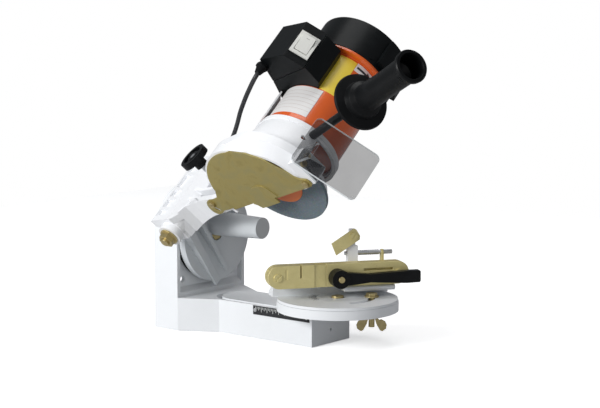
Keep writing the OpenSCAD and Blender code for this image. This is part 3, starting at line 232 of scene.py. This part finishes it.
# sprayed castings: sand texture under the paint, faint blotches and handling marks
baseLook = {
    "colour": (0.80, 0.82, 0.84), "shade": (0.76, 0.78, 0.80), "mark": (0.34, 0.34, 0.33),
    "marks": 0.25, "rough": 0.36, "sand": 520, "depth": 0.00012, "coat": 0.15,
}
tiltLook = {**baseLook, "colour": (0.62, 0.65, 0.67), "shade": (0.56, 0.59, 0.61)}
armLook = {**baseLook, "colour": (0.84, 0.85, 0.87), "shade": (0.80, 0.815, 0.835), "marks": 0.35}


def castPaint(name, slot, look):
    paint = Paint(name, slot, Coat_Weight=look["coat"], Coat_Roughness=0.25)
    sand = paint.noise(look["sand"], detail=5, rough=0.6)
    blotch = paint.noise(28, detail=3, rough=0.5).step(0.35, 0.75)
    marks = paint.noise(240, detail=5, rough=0.75, warp=0.4).step(0.68, 0.80)
    marks = marks * paint.noise(35, detail=2).step(0.52, 0.72)
    body = paint.mix(blotch * 0.5, look["colour"], look["shade"])
    paint.colour(paint.mix(marks * look["marks"], body, look["mark"]))
    paint.rough(sand * 0.16 + look["rough"])
    paint.bump(sand + paint.noise(120, detail=2) * 1.5, look["depth"])
    return paint


# motor shell: glossy orange enamel with fine scuffs
orangeLook = {
    "colour": (0.74, 0.125, 0.012), "shade": (0.62, 0.085, 0.009), "scuff": (0.75, 0.40, 0.25),
    "scuffs": 0.35, "rough": 0.2, "depth": 0.00004, "coat": 0.6,
}


def orangeEnamel(name, slot, look):
    paint = Paint(name, slot, Coat_Weight=look["coat"], Coat_Roughness=0.08)
    flow = paint.noise(45, detail=2)
    scuff = paint.noise(300, detail=6, rough=0.8, warp=0.6).step(0.72, 0.8)
    body = paint.mix(flow, look["colour"], look["shade"])
    paint.colour(paint.mix(scuff * look["scuffs"], body, look["scuff"]))
    paint.rough(flow * 0.1 + look["rough"])
    paint.bump(paint.noise(420, detail=3), look["depth"])
    return paint


# guard cover: yellow passivated sheet, cloudy ochre with brown and green tints, fine rolled grain
ochreLook = {
    "stains": [(0.25, (0.30, 0.245, 0.075)), (0.45, (0.40, 0.325, 0.11)),
               (0.6, (0.36, 0.31, 0.125)), (0.8, (0.46, 0.36, 0.13))],
    "spot": (0.22, 0.17, 0.07), "spots": 0.4, "metal": 0.55, "rough": 0.34, "depth": 0.00003,
    "grain": 900, "grainAcross": 0.12,
}


def ochreSheet(name, slot, look):
    paint = Paint(name, slot, Metallic=look["metal"])
    cloud = paint.noise(26, detail=5, rough=0.6, warp=1.2)
    across = look["grainAcross"]
    stretch = tuple(across + (1 - across) * abs(v) for v in armPlace.to_3x3().col[2])
    grain = paint.noise(look["grain"], detail=3, rough=0.6, stretch=stretch)
    tone = paint.add("ShaderNodeValToRGB", {"stops": look["stains"]}, {0: cloud}, "Color")
    spots = paint.noise(160, detail=5, rough=0.7).step(0.66, 0.74)
    paint.colour(paint.mix(spots * look["spots"], tone, look["spot"]))
    paint.rough(grain * 0.18 + look["rough"])
    paint.bump(grain, look["depth"])
    return paint


# metals: cloudy plating with dirt in its pores
zincLook = {
    "colour": (0.60, 0.50, 0.26), "shade": (0.46, 0.37, 0.17), "grime": (0.10, 0.08, 0.05),
    "metal": 0.85, "cloud": 140, "dirt": 0.5, "rough": 0.28,
}
# rail plate: its own brass colour, partly painted reflection: raised brighter and made less metallic to stand
# in for the bright surroundings it would mirror
railLook = {
    "colour": (0.82, 0.72, 0.36), "shade": (0.62, 0.54, 0.23), "grime": (0.14, 0.12, 0.06),
    "metal": 0.4, "cloud": 60, "dirt": 0.45, "rough": 0.24,
}
steelLook = {
    "colour": (0.60, 0.61, 0.62), "shade": (0.48, 0.49, 0.51), "grime": (0.16, 0.15, 0.14),
    "metal": 0.9, "cloud": 120, "dirt": 0.35, "rough": 0.24,
}
ironLook = {
    "colour": (0.16, 0.16, 0.17), "shade": (0.09, 0.09, 0.10), "grime": (0.05, 0.04, 0.04),
    "metal": 0.6, "cloud": 90, "dirt": 0.4, "rough": 0.45,
}


def metal(name, slot, look):
    paint = Paint(name, slot, Metallic=look["metal"])
    cloud = paint.noise(look["cloud"], detail=4, rough=0.6, warp=0.8)
    fine = paint.noise(1400, detail=3)
    dirt = paint.noise(260, detail=5, rough=0.7).step(0.60, 0.74)
    body = paint.mix(cloud, look["colour"], look["shade"])
    paint.colour(paint.mix(dirt * look["dirt"], body, look["grime"]))
    paint.rough(cloud * 0.14 + fine * 0.08 + look["rough"])
    paint.bump(fine + cloud, 0.00003)
    return paint


# moulded plastics: spark-eroded grain, paler along rubbed areas
gripLook = {
    "colour": (0.003, 0.0035, 0.004), "rubbed": (0.008, 0.009, 0.010), "rub": 0.6,
    "rough": 0.36, "grain": 1100, "depth": 0.00005, "coat": 0.04, "shine": 0.16,
}
boxLook = {
    "colour": (0.003, 0.004, 0.0045), "rubbed": (0.007, 0.009, 0.010), "rub": 0.5,
    "rough": 0.30, "grain": 900, "depth": 0.00006, "coat": 0.05, "shine": 0.15,
}
rockerLook = {
    "colour": (0.72, 0.72, 0.68), "rubbed": (0.62, 0.61, 0.57), "rub": 0.5,
    "rough": 0.24, "grain": 1300, "depth": 0.00002, "coat": 0.3, "shine": 0.5,
}


def plastic(name, slot, look):
    paint = Paint(name, slot, Coat_Weight=look["coat"], Coat_Roughness=0.2, Specular_IOR_Level=look["shine"])
    grain = paint.noise(look["grain"], detail=3, rough=0.6)
    rub = paint.noise(40, detail=4, rough=0.6, warp=0.5).step(0.5, 0.75)
    paint.colour(paint.mix(rub * look["rub"], look["colour"], look["rubbed"]))
    paint.rough(grain * 0.14 + rub * 0.08 + look["rough"])
    paint.bump(grain, look["depth"])
    return paint


# grinding wheel: bonded slate grit with pale and dark crystals
wheelLook = {
    "bond": (0.085, 0.125, 0.155), "bondPale": (0.125, 0.17, 0.20),
    "pale": (0.42, 0.47, 0.50), "dark": (0.02, 0.03, 0.04), "depth": 0.0003,
}


def bondedGrit(name, slot, look):
    paint = Paint(name, slot)
    grit = paint.cells(620)
    crystal = paint.cells(980, "Color")
    pale = paint.noise(1100, detail=2, rough=0.7).step(0.56, 0.70)
    dark = paint.noise(760, detail=3, rough=0.7).step(0.40, 0.30)
    body = paint.mix(paint.noise(90, detail=3), look["bond"], look["bondPale"])
    body = paint.mix(pale * 0.55, body, look["pale"])
    body = paint.mix(dark * 0.5, body, look["dark"])
    paint.colour(paint.mix(0.08, body, crystal))
    paint.rough(pale * -0.3 + 0.85)
    paint.bump(grit + pale * 0.6, look["depth"])
    return paint


# eye shield: clear sheet with faint scratches, its cut edges coloured pale as a painted glow of light from
# inside the sheet
shieldLook = {
    "colour": (0.035, 0.036, 0.040), "tint": 0.36, "coat": 0.3,
    "edge": (0.86, 0.89, 0.90), "edgeShade": (0.70, 0.75, 0.78), "edgeAlpha": 0.8, "edgeCoat": 0.4,
    "faceArea": 0.0004,
}


def clearSheet(name, slot, look):
    paint = Paint(name, slot, Coat_Weight=look["coat"])
    scratch = paint.noise(700, detail=6, rough=0.8, warp=2.5).step(0.62, 0.66)
    haze = paint.noise(30, detail=3).step(0.3, 0.8)
    paint.colour(look["colour"])
    paint.feed(paint.shader.inputs["Alpha"], haze * 0.02 + scratch * 0.015 + look["tint"])
    paint.rough(scratch * 0.2 + 0.08)
    return paint


def paintedEdgeGlow(name, slot, look):
    paint = Paint(name, slot, Coat_Weight=look["edgeCoat"], Alpha=look["edgeAlpha"])
    glow = paint.noise(160, detail=2)
    paint.colour(paint.mix(glow, look["edge"], look["edgeShade"]))
    paint.rough(glow * 0.1 + 0.12)
    return paint


# printed films and inks, slightly worn, and the blank rule lines of the motor's plate
inkLook = {
    "scale": (0.012, 0.013, 0.015), "mark": (0.72, 0.74, 0.72), "ink": (0.03, 0.03, 0.035),
    "plate": (0.74, 0.73, 0.72), "patch": (0.80, 0.60, 0.05), "blotter": (0.70, 0.15, 0.02),
}
plateRules = {
    "place": motorPlace, "axis": "Z", "pitch": 0.0062, "width": 0.0005, "first": 0.064, "last": 0.104,
    "colour": (0.35, 0.22, 0.18), "strength": 0.55,
}


def printed(name, slot, colour, rules=None):
    paint = Paint(name, slot)
    worn = paint.noise(220, detail=5, rough=0.7).step(0.62, 0.78)
    body = paint.mix(worn * 0.25, colour, tuple(0.6 * c + 0.08 for c in colour))
    if rules:
        run = paint.along(rules["place"], rules["axis"])
        line = (run / rules["pitch"]).maths("FRACT") < rules["width"] / rules["pitch"]
        line = line * (run > rules["first"]) * (run < rules["last"])
        body = paint.mix(line * rules["strength"], body, rules["colour"])
    paint.colour(body)
    paint.rough(worn * 0.2 + 0.38)
    paint.bump(paint.noise(500, detail=2), 0.00002)
    return paint


# supply cord
cordLook = {
    "colour": (0.014, 0.015, 0.017), "shade": (0.028, 0.029, 0.032), "rough": 0.42, "depth": 0.00005,
    "diameter": 6.0, "sides": 5, "smooth": 6,
}


def cordRubber(name, slot, look):
    paint = Paint(name, slot)
    skin = paint.noise(800, detail=3)
    paint.colour(paint.mix(paint.noise(60, detail=2), look["colour"], look["shade"]))
    paint.rough(skin * 0.15 + look["rough"])
    paint.bump(skin, look["depth"])
    return paint


finishes = {
    "base": castPaint("basePaint", "grey_casting", baseLook),
    "tilt": castPaint("tiltPaint", "grey_casting", tiltLook),
    "arm": castPaint("armPaint", "white_casting", armLook),
    "orange": orangeEnamel("orangeEnamel", "orange_paint", orangeLook),
    "ochre": ochreSheet("ochreSheet", "ochre_plate", ochreLook),
    "zinc": metal("yellowZinc", "yellow_zinc", zincLook),
    "rail": metal("railPlate", "rail_brass", railLook),
    "steel": metal("brightSteel", "bright_steel", steelLook),
    "iron": metal("stackedIron", "motor_iron", ironLook),
    "grip": plastic("gripPlastic", "black_plastic", gripLook),
    "box": plastic("boxPlastic", "dark_plastic", boxLook),
    "white": plastic("rockerPlastic", "white_plastic", rockerLook),
    "scale": printed("scaleFilm", "black_scale", inkLook["scale"]),
    "mark": printed("scaleInk", "black_scale", inkLook["mark"]),
    "ink": printed("darkInk", "black_scale", inkLook["ink"]),
    "plate": printed("blankPlate", "label", inkLook["plate"], plateRules),
    "patch": printed("yellowPatch", "label", inkLook["patch"]),
    "blotter": printed("wheelBlotter", "wheel_label", inkLook["blotter"]),
    "abrasive": bondedGrit("abrasive", "abrasive", wheelLook),
    "shield": clearSheet("clearSheet", "clear_shield", shieldLook),
    "edge": paintedEdgeGlow("paintedEdgeGlow", "clear_shield", shieldLook),
    "cord": cordRubber("cordRubber", "cord_black", cordLook),
}
print("finishes made", len(finishes))


# making pieces
makingLook = {"merge": 0.000004, "flat": 0.4, "break": 26, "segments": 2, "cadSharp": 40, "ownSharp": 34}


def dress(data, *finishKeys):
    data.materials.clear()
    for key in finishKeys:
        data.materials.append(finishes[key].material)


def smoothShade(mesh, sharpFrom):
    for polygon in mesh.polygons:
        polygon.use_smooth = True
    mesh.set_sharp_from_angle(angle=math.radians(sharpFrom))


def linkPiece(name, mesh, finishKeys, body):
    piece = bpy.data.objects.new(name, mesh)
    scene.collection.objects.link(piece)
    dress(mesh, *finishKeys)
    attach(piece, body)
    return piece


def rounded(node, width, *finishKeys):  # a finer copy of a frame node, with its worked edges broken
    look = makingLook
    mesh = nodes[node].data.copy()
    shape = bmesh.new()
    shape.from_mesh(mesh)
    bmesh.ops.remove_doubles(shape, verts=shape.verts, dist=look["merge"])
    flat = math.radians(look["flat"])
    bmesh.ops.dissolve_limit(shape, angle_limit=flat, verts=shape.verts, edges=shape.edges)
    bmesh.ops.dissolve_degenerate(shape, edges=shape.edges, dist=look["merge"])
    least = math.radians(look["break"])
    sharp = [edge for edge in shape.edges if edge.is_manifold and edge.calc_face_angle(0) > least]
    if sharp:
        bmesh.ops.bevel(shape, geom=sharp, offset=width / 1000, offset_type="OFFSET", affect="EDGES",
                        segments=look["segments"], profile=0.5, clamp_overlap=True, harden_normals=False)
    shape.to_mesh(mesh)
    shape.free()
    smoothShade(mesh, look["cadSharp"])
    piece = linkPiece(node + ".piece", mesh, finishKeys, bodyOfNode[node])
    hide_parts(node)
    weighted = piece.modifiers.new("weighted", "WEIGHTED_NORMAL")
    weighted.keep_sharp = True
    return piece


def shapePiece(name, finishKey, body, build, place=ownPlace):
    # build fills a bmesh in millimetres on the local axes of its place
    shape = bmesh.new()
    build(shape)
    bmesh.ops.recalc_face_normals(shape, faces=shape.faces)
    shape.transform(place @ Matrix.Scale(0.001, 4))
    mesh = bpy.data.meshes.new(name)
    shape.to_mesh(mesh)
    shape.free()
    smoothShade(mesh, makingLook["ownSharp"])
    linkPiece(name, mesh, [finishKey], body)


def addLoft(shape, rings):  # a closed solid through rings of points
    made = [[shape.verts.new(point) for point in ring] for ring in rings]
    for first, second in zip(made, made[1:]):
        for i in range(len(first)):
            after = (i + 1) % len(first)
            shape.faces.new((first[i], first[after], second[after], second[i]))
    shape.faces.new(list(reversed(made[0])))
    shape.faces.new(made[-1])


def addBox(shape, low, high):
    corners = ((low[0], low[1]), (high[0], low[1]), (high[0], high[1]), (low[0], high[1]))
    addLoft(shape, [[(x, y, z) for x, y in corners] for z in (low[2], high[2])])


def bendOnto(shape, outline, radius, thick, step=2.0):
    # outline: (arc length, height) points of a thin sheet, wrapped onto a cylinder about Z
    sheet = bmesh.new()
    sheet.faces.new([sheet.verts.new((x, y, 0)) for x, y in outline])
    high = max(x for x, y in outline)
    cut = min(x for x, y in outline) + step
    while cut < high:
        parts = sheet.verts[:] + sheet.edges[:] + sheet.faces[:]
        bmesh.ops.bisect_plane(sheet, geom=parts, plane_co=(cut, 0, 0), plane_no=(1, 0, 0))
        cut += step
    grown = bmesh.ops.extrude_face_region(sheet, geom=sheet.faces[:])
    for vertex in [part for part in grown["geom"] if isinstance(part, bmesh.types.BMVert)]:
        vertex.co.z = thick
    bmesh.ops.recalc_face_normals(sheet, faces=sheet.faces)
    for vertex in sheet.verts:
        angle = vertex.co.x / radius
        reach = radius + vertex.co.z
        vertex.co = Vector((reach * math.cos(angle), reach * math.sin(angle), vertex.co.y))
    mesh = bpy.data.meshes.new("bent")
    sheet.to_mesh(mesh)
    sheet.free()
    shape.from_mesh(mesh)
    bpy.data.meshes.remove(mesh)


# the cord's route: the same points as the frame, in millimetres
upperPoints = [
    (181, 102, 92), (181, 98, 92), (179.5, 89, 91), (173, 84.5, 88), (165, 80, 84), (151, 75, 77),
    (136, 71, 69), (123, 69, 62), (100, 68, 49), (81, 67, 39), (58, 66, 28), (38, 65, 18), (24, 66, 11),
    (12, 71, 6.5), (3.5, 80, 4), (-0.3, 89, 3.3), (-0.3, 92, 3.3), (-0.3, 95, 3.3),
]
middlePoints = [
    (-72.5, 89, 70), (-72.5, 92.3, 70), (-72.5, 96, 70), (-75.5, 107, 70), (-84.5, 115.7, 69),
    (-100, 116.5, 58), (-116, 107.5, 44.4), (-134, 93, 30.6), (-150, 78, 17), (-166, 64, 3),
    (-178, 50, -8), (-182, 32, -12),
    (-175, 11, -7), (-163, 2.2, -1), (-156, 0, 0), (-153, 0, 0), (-150.4, 0, 0), (-146, 0, 0),
]
lowerPoints = [
    (-154, 0, 128), (-149.7, 0, 128), (-147.5, 0, 128), (-145, 0, 128), (-136, 0, 124), (-129, 0, 116),
    (-125.5, 0, 104), (-125, 0, 85), (-125, 0, 60), (-125.5, 0, 38), (-127.5, 0.5, 24), (-133, 2.5, 13),
    (-141, 6, 6.5), (-149, 13, 3.6), (-152.5, 24, 3.05), (-152.2, 40, 3.05), (-151.6, 60, 3.05),
    (-151.5, 77, 3.05), (-151.5, 85, 3.05), (-151.5, 93, 3.05),
]
coilLook = {
    "x": -195, "y": 85, "rest": 3.05,
    "outer": 43.5, "pitch": 6.6,
    "layer": 900, "rise": 70,  # degrees wound in each layer and in the climb between them
    "points": 250,
    "tail": 20, "tailRise": 9.3, "tailLifts": (0.25, 0.8, 1),
}


def smoothRoute(points, steps):  # a curve through all the points but the first and the last
    route = []
    for i in range(1, len(points) - 2):
        p, q, r, s = (Vector(points[k]) for k in range(i - 1, i + 3))
        for k in range(steps):
            t = k / steps
            bend = (2 * p - 5 * q + 4 * r - s) * t * t + (3 * q - p - 3 * r + s) * t ** 3
            route.append(0.5 * (2 * q + (r - p) * t + bend))
    route.append(Vector(points[-2]))
    return route


def coilRoute(look):
    route = []
    layer, rise, count = look["layer"], look["rise"], look["points"]
    sweep = 2 * layer + rise
    for i in range(1, count + 1):
        angle = i * sweep / count
        inward = min(angle, layer)
        outward = max(0, angle - layer - rise)
        radius = look["outer"] - look["pitch"] * (inward - outward) / 360
        climb = min(1, max(0, (angle - layer) / rise))
        across = Vector((math.cos(math.radians(angle)), math.sin(math.radians(angle)), 0)) * radius
        route.append(Vector((look["x"], look["y"], look["rest"] + look["pitch"] * climb)) + across)
    heading = Vector((-math.sin(math.radians(sweep)), math.cos(math.radians(sweep)), 0))
    end = route[-1]
    for part, lift in enumerate(look["tailLifts"], 1):
        ahead = heading * look["tail"] * part / len(look["tailLifts"])
        route.append(end + ahead + Vector((0, 0, look["tailRise"] * lift)))
    return route


def makeCord(name, body, route, place, farEnd, withPieces, *replaced):
    diameter = cordLook["diameter"] / 1000
    data = bpy.data.curves.new(name, "CURVE")
    data.dimensions = "3D"
    data.bevel_depth = diameter / 2
    data.bevel_resolution = cordLook["sides"]
    data.use_fill_caps = True
    spline = data.splines.new("POLY")
    spline.points.add(len(route) - 1)
    world = [place @ (point / 1000) for point in route]
    for point, at in zip(spline.points, world):
        point.co = (*at, 1)
    spline.use_smooth = True
    piece = linkPiece(name, data, ["cord"], body)
    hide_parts(*replaced)
    length = sum((b - a).length for a, b in zip(world, world[1:]))
    print(name, "length", round(length, 3))


plug = (nodes["plug_body"], nodes["plug_pins"])
upperRoute, middleRoute, lowerRoute = (
    smoothRoute(points, cordLook["smooth"]) for points in (upperPoints, middlePoints, lowerPoints))
makeCord("cordUpper", "head_arm", upperRoute, armPlace, "object", (), "cord_upper")
makeCord("cordMiddle", "head_tilt", middleRoute, tiltPlace, "object", (), "cord_middle")
lowerRoute += coilRoute(coilLook)
makeCord("cordLower", "base", lowerRoute, ownPlace, "plug", plug, "cord_lower", "cord_coil")
for part, finishKey in zip(plug, ("cord", "steel")):
    dress(part.data, finishKey)
    smoothShade(part.data, makingLook["ownSharp"])
print("cords laid")


# frame pieces: how far their worked edges are broken, in millimetres, and their finish
brokenEdges = {
    "base_casting": (1.5, "base"), "tilt_scale": (0.1, "scale"), "slide_scale": (0.15, "scale"),
    "scale_screws": (0.25, "steel"),
    "tilt_bracket": (1.2, "tilt"), "tilt_bolt": (0.5, "zinc"), "tilt_nut": (0.5, "zinc"),
    "pivot_bolt": (0.7, "zinc"), "pivot_nut": (0.7, "zinc"),
    "arm_casting": (0.9, "arm"), "rim_bolts": (0.4, "zinc"), "guard_cover": (0.5, "ochre"),
    "cover_screws": (0.35, "zinc"), "bell_housing": (0.7, "arm"), "motor_ring": (0.6, "arm"),
    "motor_shell": (0.8, "orange"), "stator": (0.3, "iron"), "bearings": (0.4, "steel"),
    "fan_cap": (0.9, "box"), "rating_plate": (0.1, "plate"),
    "switch_top": (1.1, "box"), "switch_low": (1.1, "box"), "switch_frame": (0.5, "white"),
    "rocker": (0.5, "white"), "cable_gland": (0.5, "grip"),
    "handle_rod": (0.5, "box"), "handle_grip": (0.6, "grip"),
    "motor_shaft": (0.6, "steel"), "cooling_fan": (0.3, "grip"), "grinding_wheel": (0.5, "abrasive"),
    "wheel_hub": (0.5, "steel"), "wheel_flange": (0.1, "blotter"), "wheel_nut": (0.6, "zinc"),
    "depth_screw": (0.3, "steel"), "depth_wheel": (0.9, "grip"),
    "carriage": (1.2, "base"), "slide_clamp": (0.5, "zinc"), "swivel_bolt": (0.5, "zinc"),
    "wing_nut": (0.6, "zinc"), "vice_support": (0.9, "base"), "swivel_pin": (0.6, "zinc"),
    "back_rail": (0.6, "rail"), "rail_web": (0.3, "rail"), "front_rail": (0.6, "rail"),
    "rail_screws": (0.3, "rail"), "moving_jaw": (0.6, "rail"), "clamp_pin": (0.6, "zinc"),
    "clamp_lever": (1.0, "grip"), "stop_bracket": (0.4, "rail"), "stop_spindle": (0.12, "steel"),
    "stop_slider": (0.7, "arm"), "stop_screw": (0.3, "rail"), "stop_pawl": (0.5, "rail"),
    "eye_shield": (0.35, "shield", "edge"),
}
dressed = {node: rounded(node, *edging) for node, edging in brokenEdges.items()}
# the small cut-edge faces take the pale edge finish, a painted glow of light through the sheet
for polygon in dressed["eye_shield"].data.polygons:  # faces clear, cut edges bright
    polygon.material_index = 0 if polygon.area > shieldLook["faceArea"] else 1
print("edges broken", len(dressed))


# scales, in millimetres and degrees
ruleLook = {
    "first": 29.5, "last": 117, "pitch": 2.5, "wide": 0.6, "top": 43.2, "heights": (6.5, 3.0, 4.6, 3.0),
    "front": -41.12, "back": -40.98,
}
tiltLines = {
    "count": 35, "first": -85, "pitch": 5, "wide": 0.7, "centre": (-94.02, 0, 128), "proud": 0.12,
    "reach": ((52.6, 60.5), (53.2, 57.5)),
}
tableLines = {
    "count": 13, "first": 191, "pitch": 5, "wide": 0.8, "low": 62.08, "high": 62.2,
    "reach": ((28, 38), (28, 35)),
}


def buildRuleTicks(shape):
    look = ruleLook
    for i in range(int((look["last"] - look["first"]) / look["pitch"]) + 1):
        x = look["first"] + i * look["pitch"]
        low = look["top"] - look["heights"][i % 4]
        half = look["wide"] / 2
        addBox(shape, (x - half, look["front"], low), (x + half, look["back"], look["top"]))


def tickRing(out, across, reach):
    inner, outer = reach
    return [out * inner - across, out * outer - across, out * outer + across, out * inner + across]


def buildTiltTicks(shape):
    look = tiltLines
    centre = Vector(look["centre"])
    lift = Vector((look["proud"], 0, 0))
    for i in range(look["count"]):
        angle = math.radians(look["first"] + i * look["pitch"])
        across = Vector((0, math.cos(angle), math.sin(angle))) * look["wide"] / 2
        out = Vector((0, math.sin(angle), -math.cos(angle)))
        ring = [centre + point for point in tickRing(out, across, look["reach"][i % 2])]
        addLoft(shape, [ring, [point + lift for point in ring]])


def buildTableTicks(shape):
    look = tableLines
    for i in range(look["count"]):
        angle = math.radians(look["first"] + i * look["pitch"] - machine["viceAngle"])
        out = Vector((math.cos(angle), math.sin(angle), 0))
        across = Vector((-out.y, out.x, 0)) * look["wide"] / 2
        ring = tickRing(out, across, look["reach"][i % 2])
        addLoft(shape, [[(point.x, point.y, z) for point in ring] for z in (look["low"], look["high"])])


shapePiece("ruleTicks", "mark", "base", buildRuleTicks)
shapePiece("tiltTicks", "mark", "base", buildTiltTicks)
shapePiece("tableTicks", "ink", "vice", buildTableTicks, vicePlace)


# labels on the motor shell, all of them blank or plain signs: angles round it and heights along it
labelLook = {
    "shell": 53.03, "thick": 0.18,
    "patch": (-44, -17.5), "patchHeights": (109, 171),
    "arrow": (-17, 13), "arrowHeights": (159.5, 172), "arrowMargin": 2,
    "shaft": (164.2, 167.4), "head": (161.2, 165.8, 170.4), "headLength": 8, "inkThick": 0.06,
}


def arcAt(degrees):
    return math.radians(degrees) * labelLook["shell"]


def buildSheet(shape, angles, heights):
    low, high = (arcAt(angle) for angle in angles)
    bottom, top = heights
    outline = [(low, bottom), (high, bottom), (high, top), (low, top)]
    bendOnto(shape, outline, labelLook["shell"], labelLook["thick"])


def buildPatch(shape):
    buildSheet(shape, labelLook["patch"], labelLook["patchHeights"])


def buildArrowPlate(shape):
    buildSheet(shape, labelLook["arrow"], labelLook["arrowHeights"])


def buildArrow(shape):
    look = labelLook
    tail = arcAt(look["arrow"][0] + look["arrowMargin"])
    tip = arcAt(look["arrow"][1] - look["arrowMargin"])
    neck = tip - look["headLength"]
    bottom, top = look["shaft"]
    low, middle, high = look["head"]
    shaft = [(neck, top), (tail, top), (tail, bottom), (neck, bottom)]
    outline = shaft + [(neck, low), (tip, middle), (neck, high)]
    bendOnto(shape, outline, look["shell"] + look["thick"], look["inkThick"], 1.5)


shapePiece("yellowPatch", "patch", "head_arm", buildPatch, motorPlace)
shapePiece("arrowPlate", "plate", "head_arm", buildArrowPlate, motorPlace)
shapePiece("arrow", "ink", "head_arm", buildArrow, motorPlace)


# the bar on the rocker
rockerBar = {"low": (-2.2, 7.2, 5.45), "high": (2.2, 8.0, 5.75)}


def buildRockerBar(shape):
    addBox(shape, rockerBar["low"], rockerBar["high"])


shapePiece("rockerMark", "ink", "switch_rocker", buildRockerBar, facePlace)
print("marks made")


# floor: white as the camera sees it, with the object's shadow, and greyer for the light it throws back
floorLook = {
    "colour": (0.55, 0.55, 0.56), "seen": (1.0, 1.0, 1.0), "glow": 0.5, "rough": 0.9,
    "half": 1.3, "below": 0.0004,
}


def makeFloor(look):
    mesh = bpy.data.meshes.new("floor")
    shape = bmesh.new()
    bmesh.ops.create_grid(shape, x_segments=2, y_segments=2, size=look["half"])
    shape.to_mesh(mesh)
    shape.free()
    floor = bpy.data.objects.new("floor", mesh)
    floor.location.z = -look["below"]
    scene.collection.objects.link(floor)
    paint = Paint("floorPaper", None, Roughness=look["rough"], Emission_Strength=look["glow"])
    cameraRay = paint.add("ShaderNodeLightPath", {}, {}, "Is Camera Ray")
    paint.colour(paint.mix(cameraRay, look["colour"], look["seen"]))
    paint.feed(paint.shader.inputs["Emission Color"], paint.mix(cameraRay, (0, 0, 0), (1, 1, 1)))
    mesh.materials.append(paint.material)


# lamps, in metres and watts
lampLooks = {
    "key": {"place": (-0.5, -2.5, 1.05), "target": (0.0, 0.0, 0.2), "size": (1.4, 1.0), "power": 66},
    "fill": {"place": (2.2, -0.9, 0.9), "target": (0.05, 0.0, 0.2), "size": (1.4, 1.2), "power": 3.0},
    "top": {"place": (0.1, 0.2, 2.4), "target": (0.05, -0.05, 0.1), "size": (1.6, 1.6), "power": 20},
}


def addLamp(name, look):
    data = bpy.data.lights.new(name, "AREA")
    data.shape = "RECTANGLE"
    data.size, data.size_y = look["size"]
    data.energy = look["power"]
    lamp = bpy.data.objects.new(name, data)
    scene.collection.objects.link(lamp)
    lamp.location = look["place"]
    aim = Vector(look["target"]) - Vector(look["place"])
    lamp.rotation_euler = aim.to_track_quat("-Z", "Y").to_euler()


# world: soft light on the object, plain white behind it
worldLook = {"colour": (0.93, 0.96, 1.0), "strength": 0.22}


def makeWorld(look):
    world = bpy.data.worlds.new("studio")
    scene.world = world
    world.use_nodes = True
    tree = world.node_tree
    tree.nodes.clear()
    out = tree.nodes.new("ShaderNodeOutputWorld")
    rays = tree.nodes.new("ShaderNodeLightPath")
    mixer = tree.nodes.new("ShaderNodeMixShader")
    tree.links.new(rays.outputs["Is Camera Ray"], mixer.inputs[0])
    for socket, colour, strength in ((1, look["colour"], look["strength"]), (2, (1, 1, 1), 1.0)):
        background = tree.nodes.new("ShaderNodeBackground")
        background.inputs["Color"].default_value = (*colour, 1)
        background.inputs["Strength"].default_value = strength
        tree.links.new(background.outputs[0], mixer.inputs[socket])
    tree.links.new(mixer.outputs[0], out.inputs[0])


makeFloor(floorLook)
makeWorld(worldLook)
for name, look in lampLooks.items():
    addLamp(name, look)
scene.view_settings.view_transform = "Standard"
print("lit")
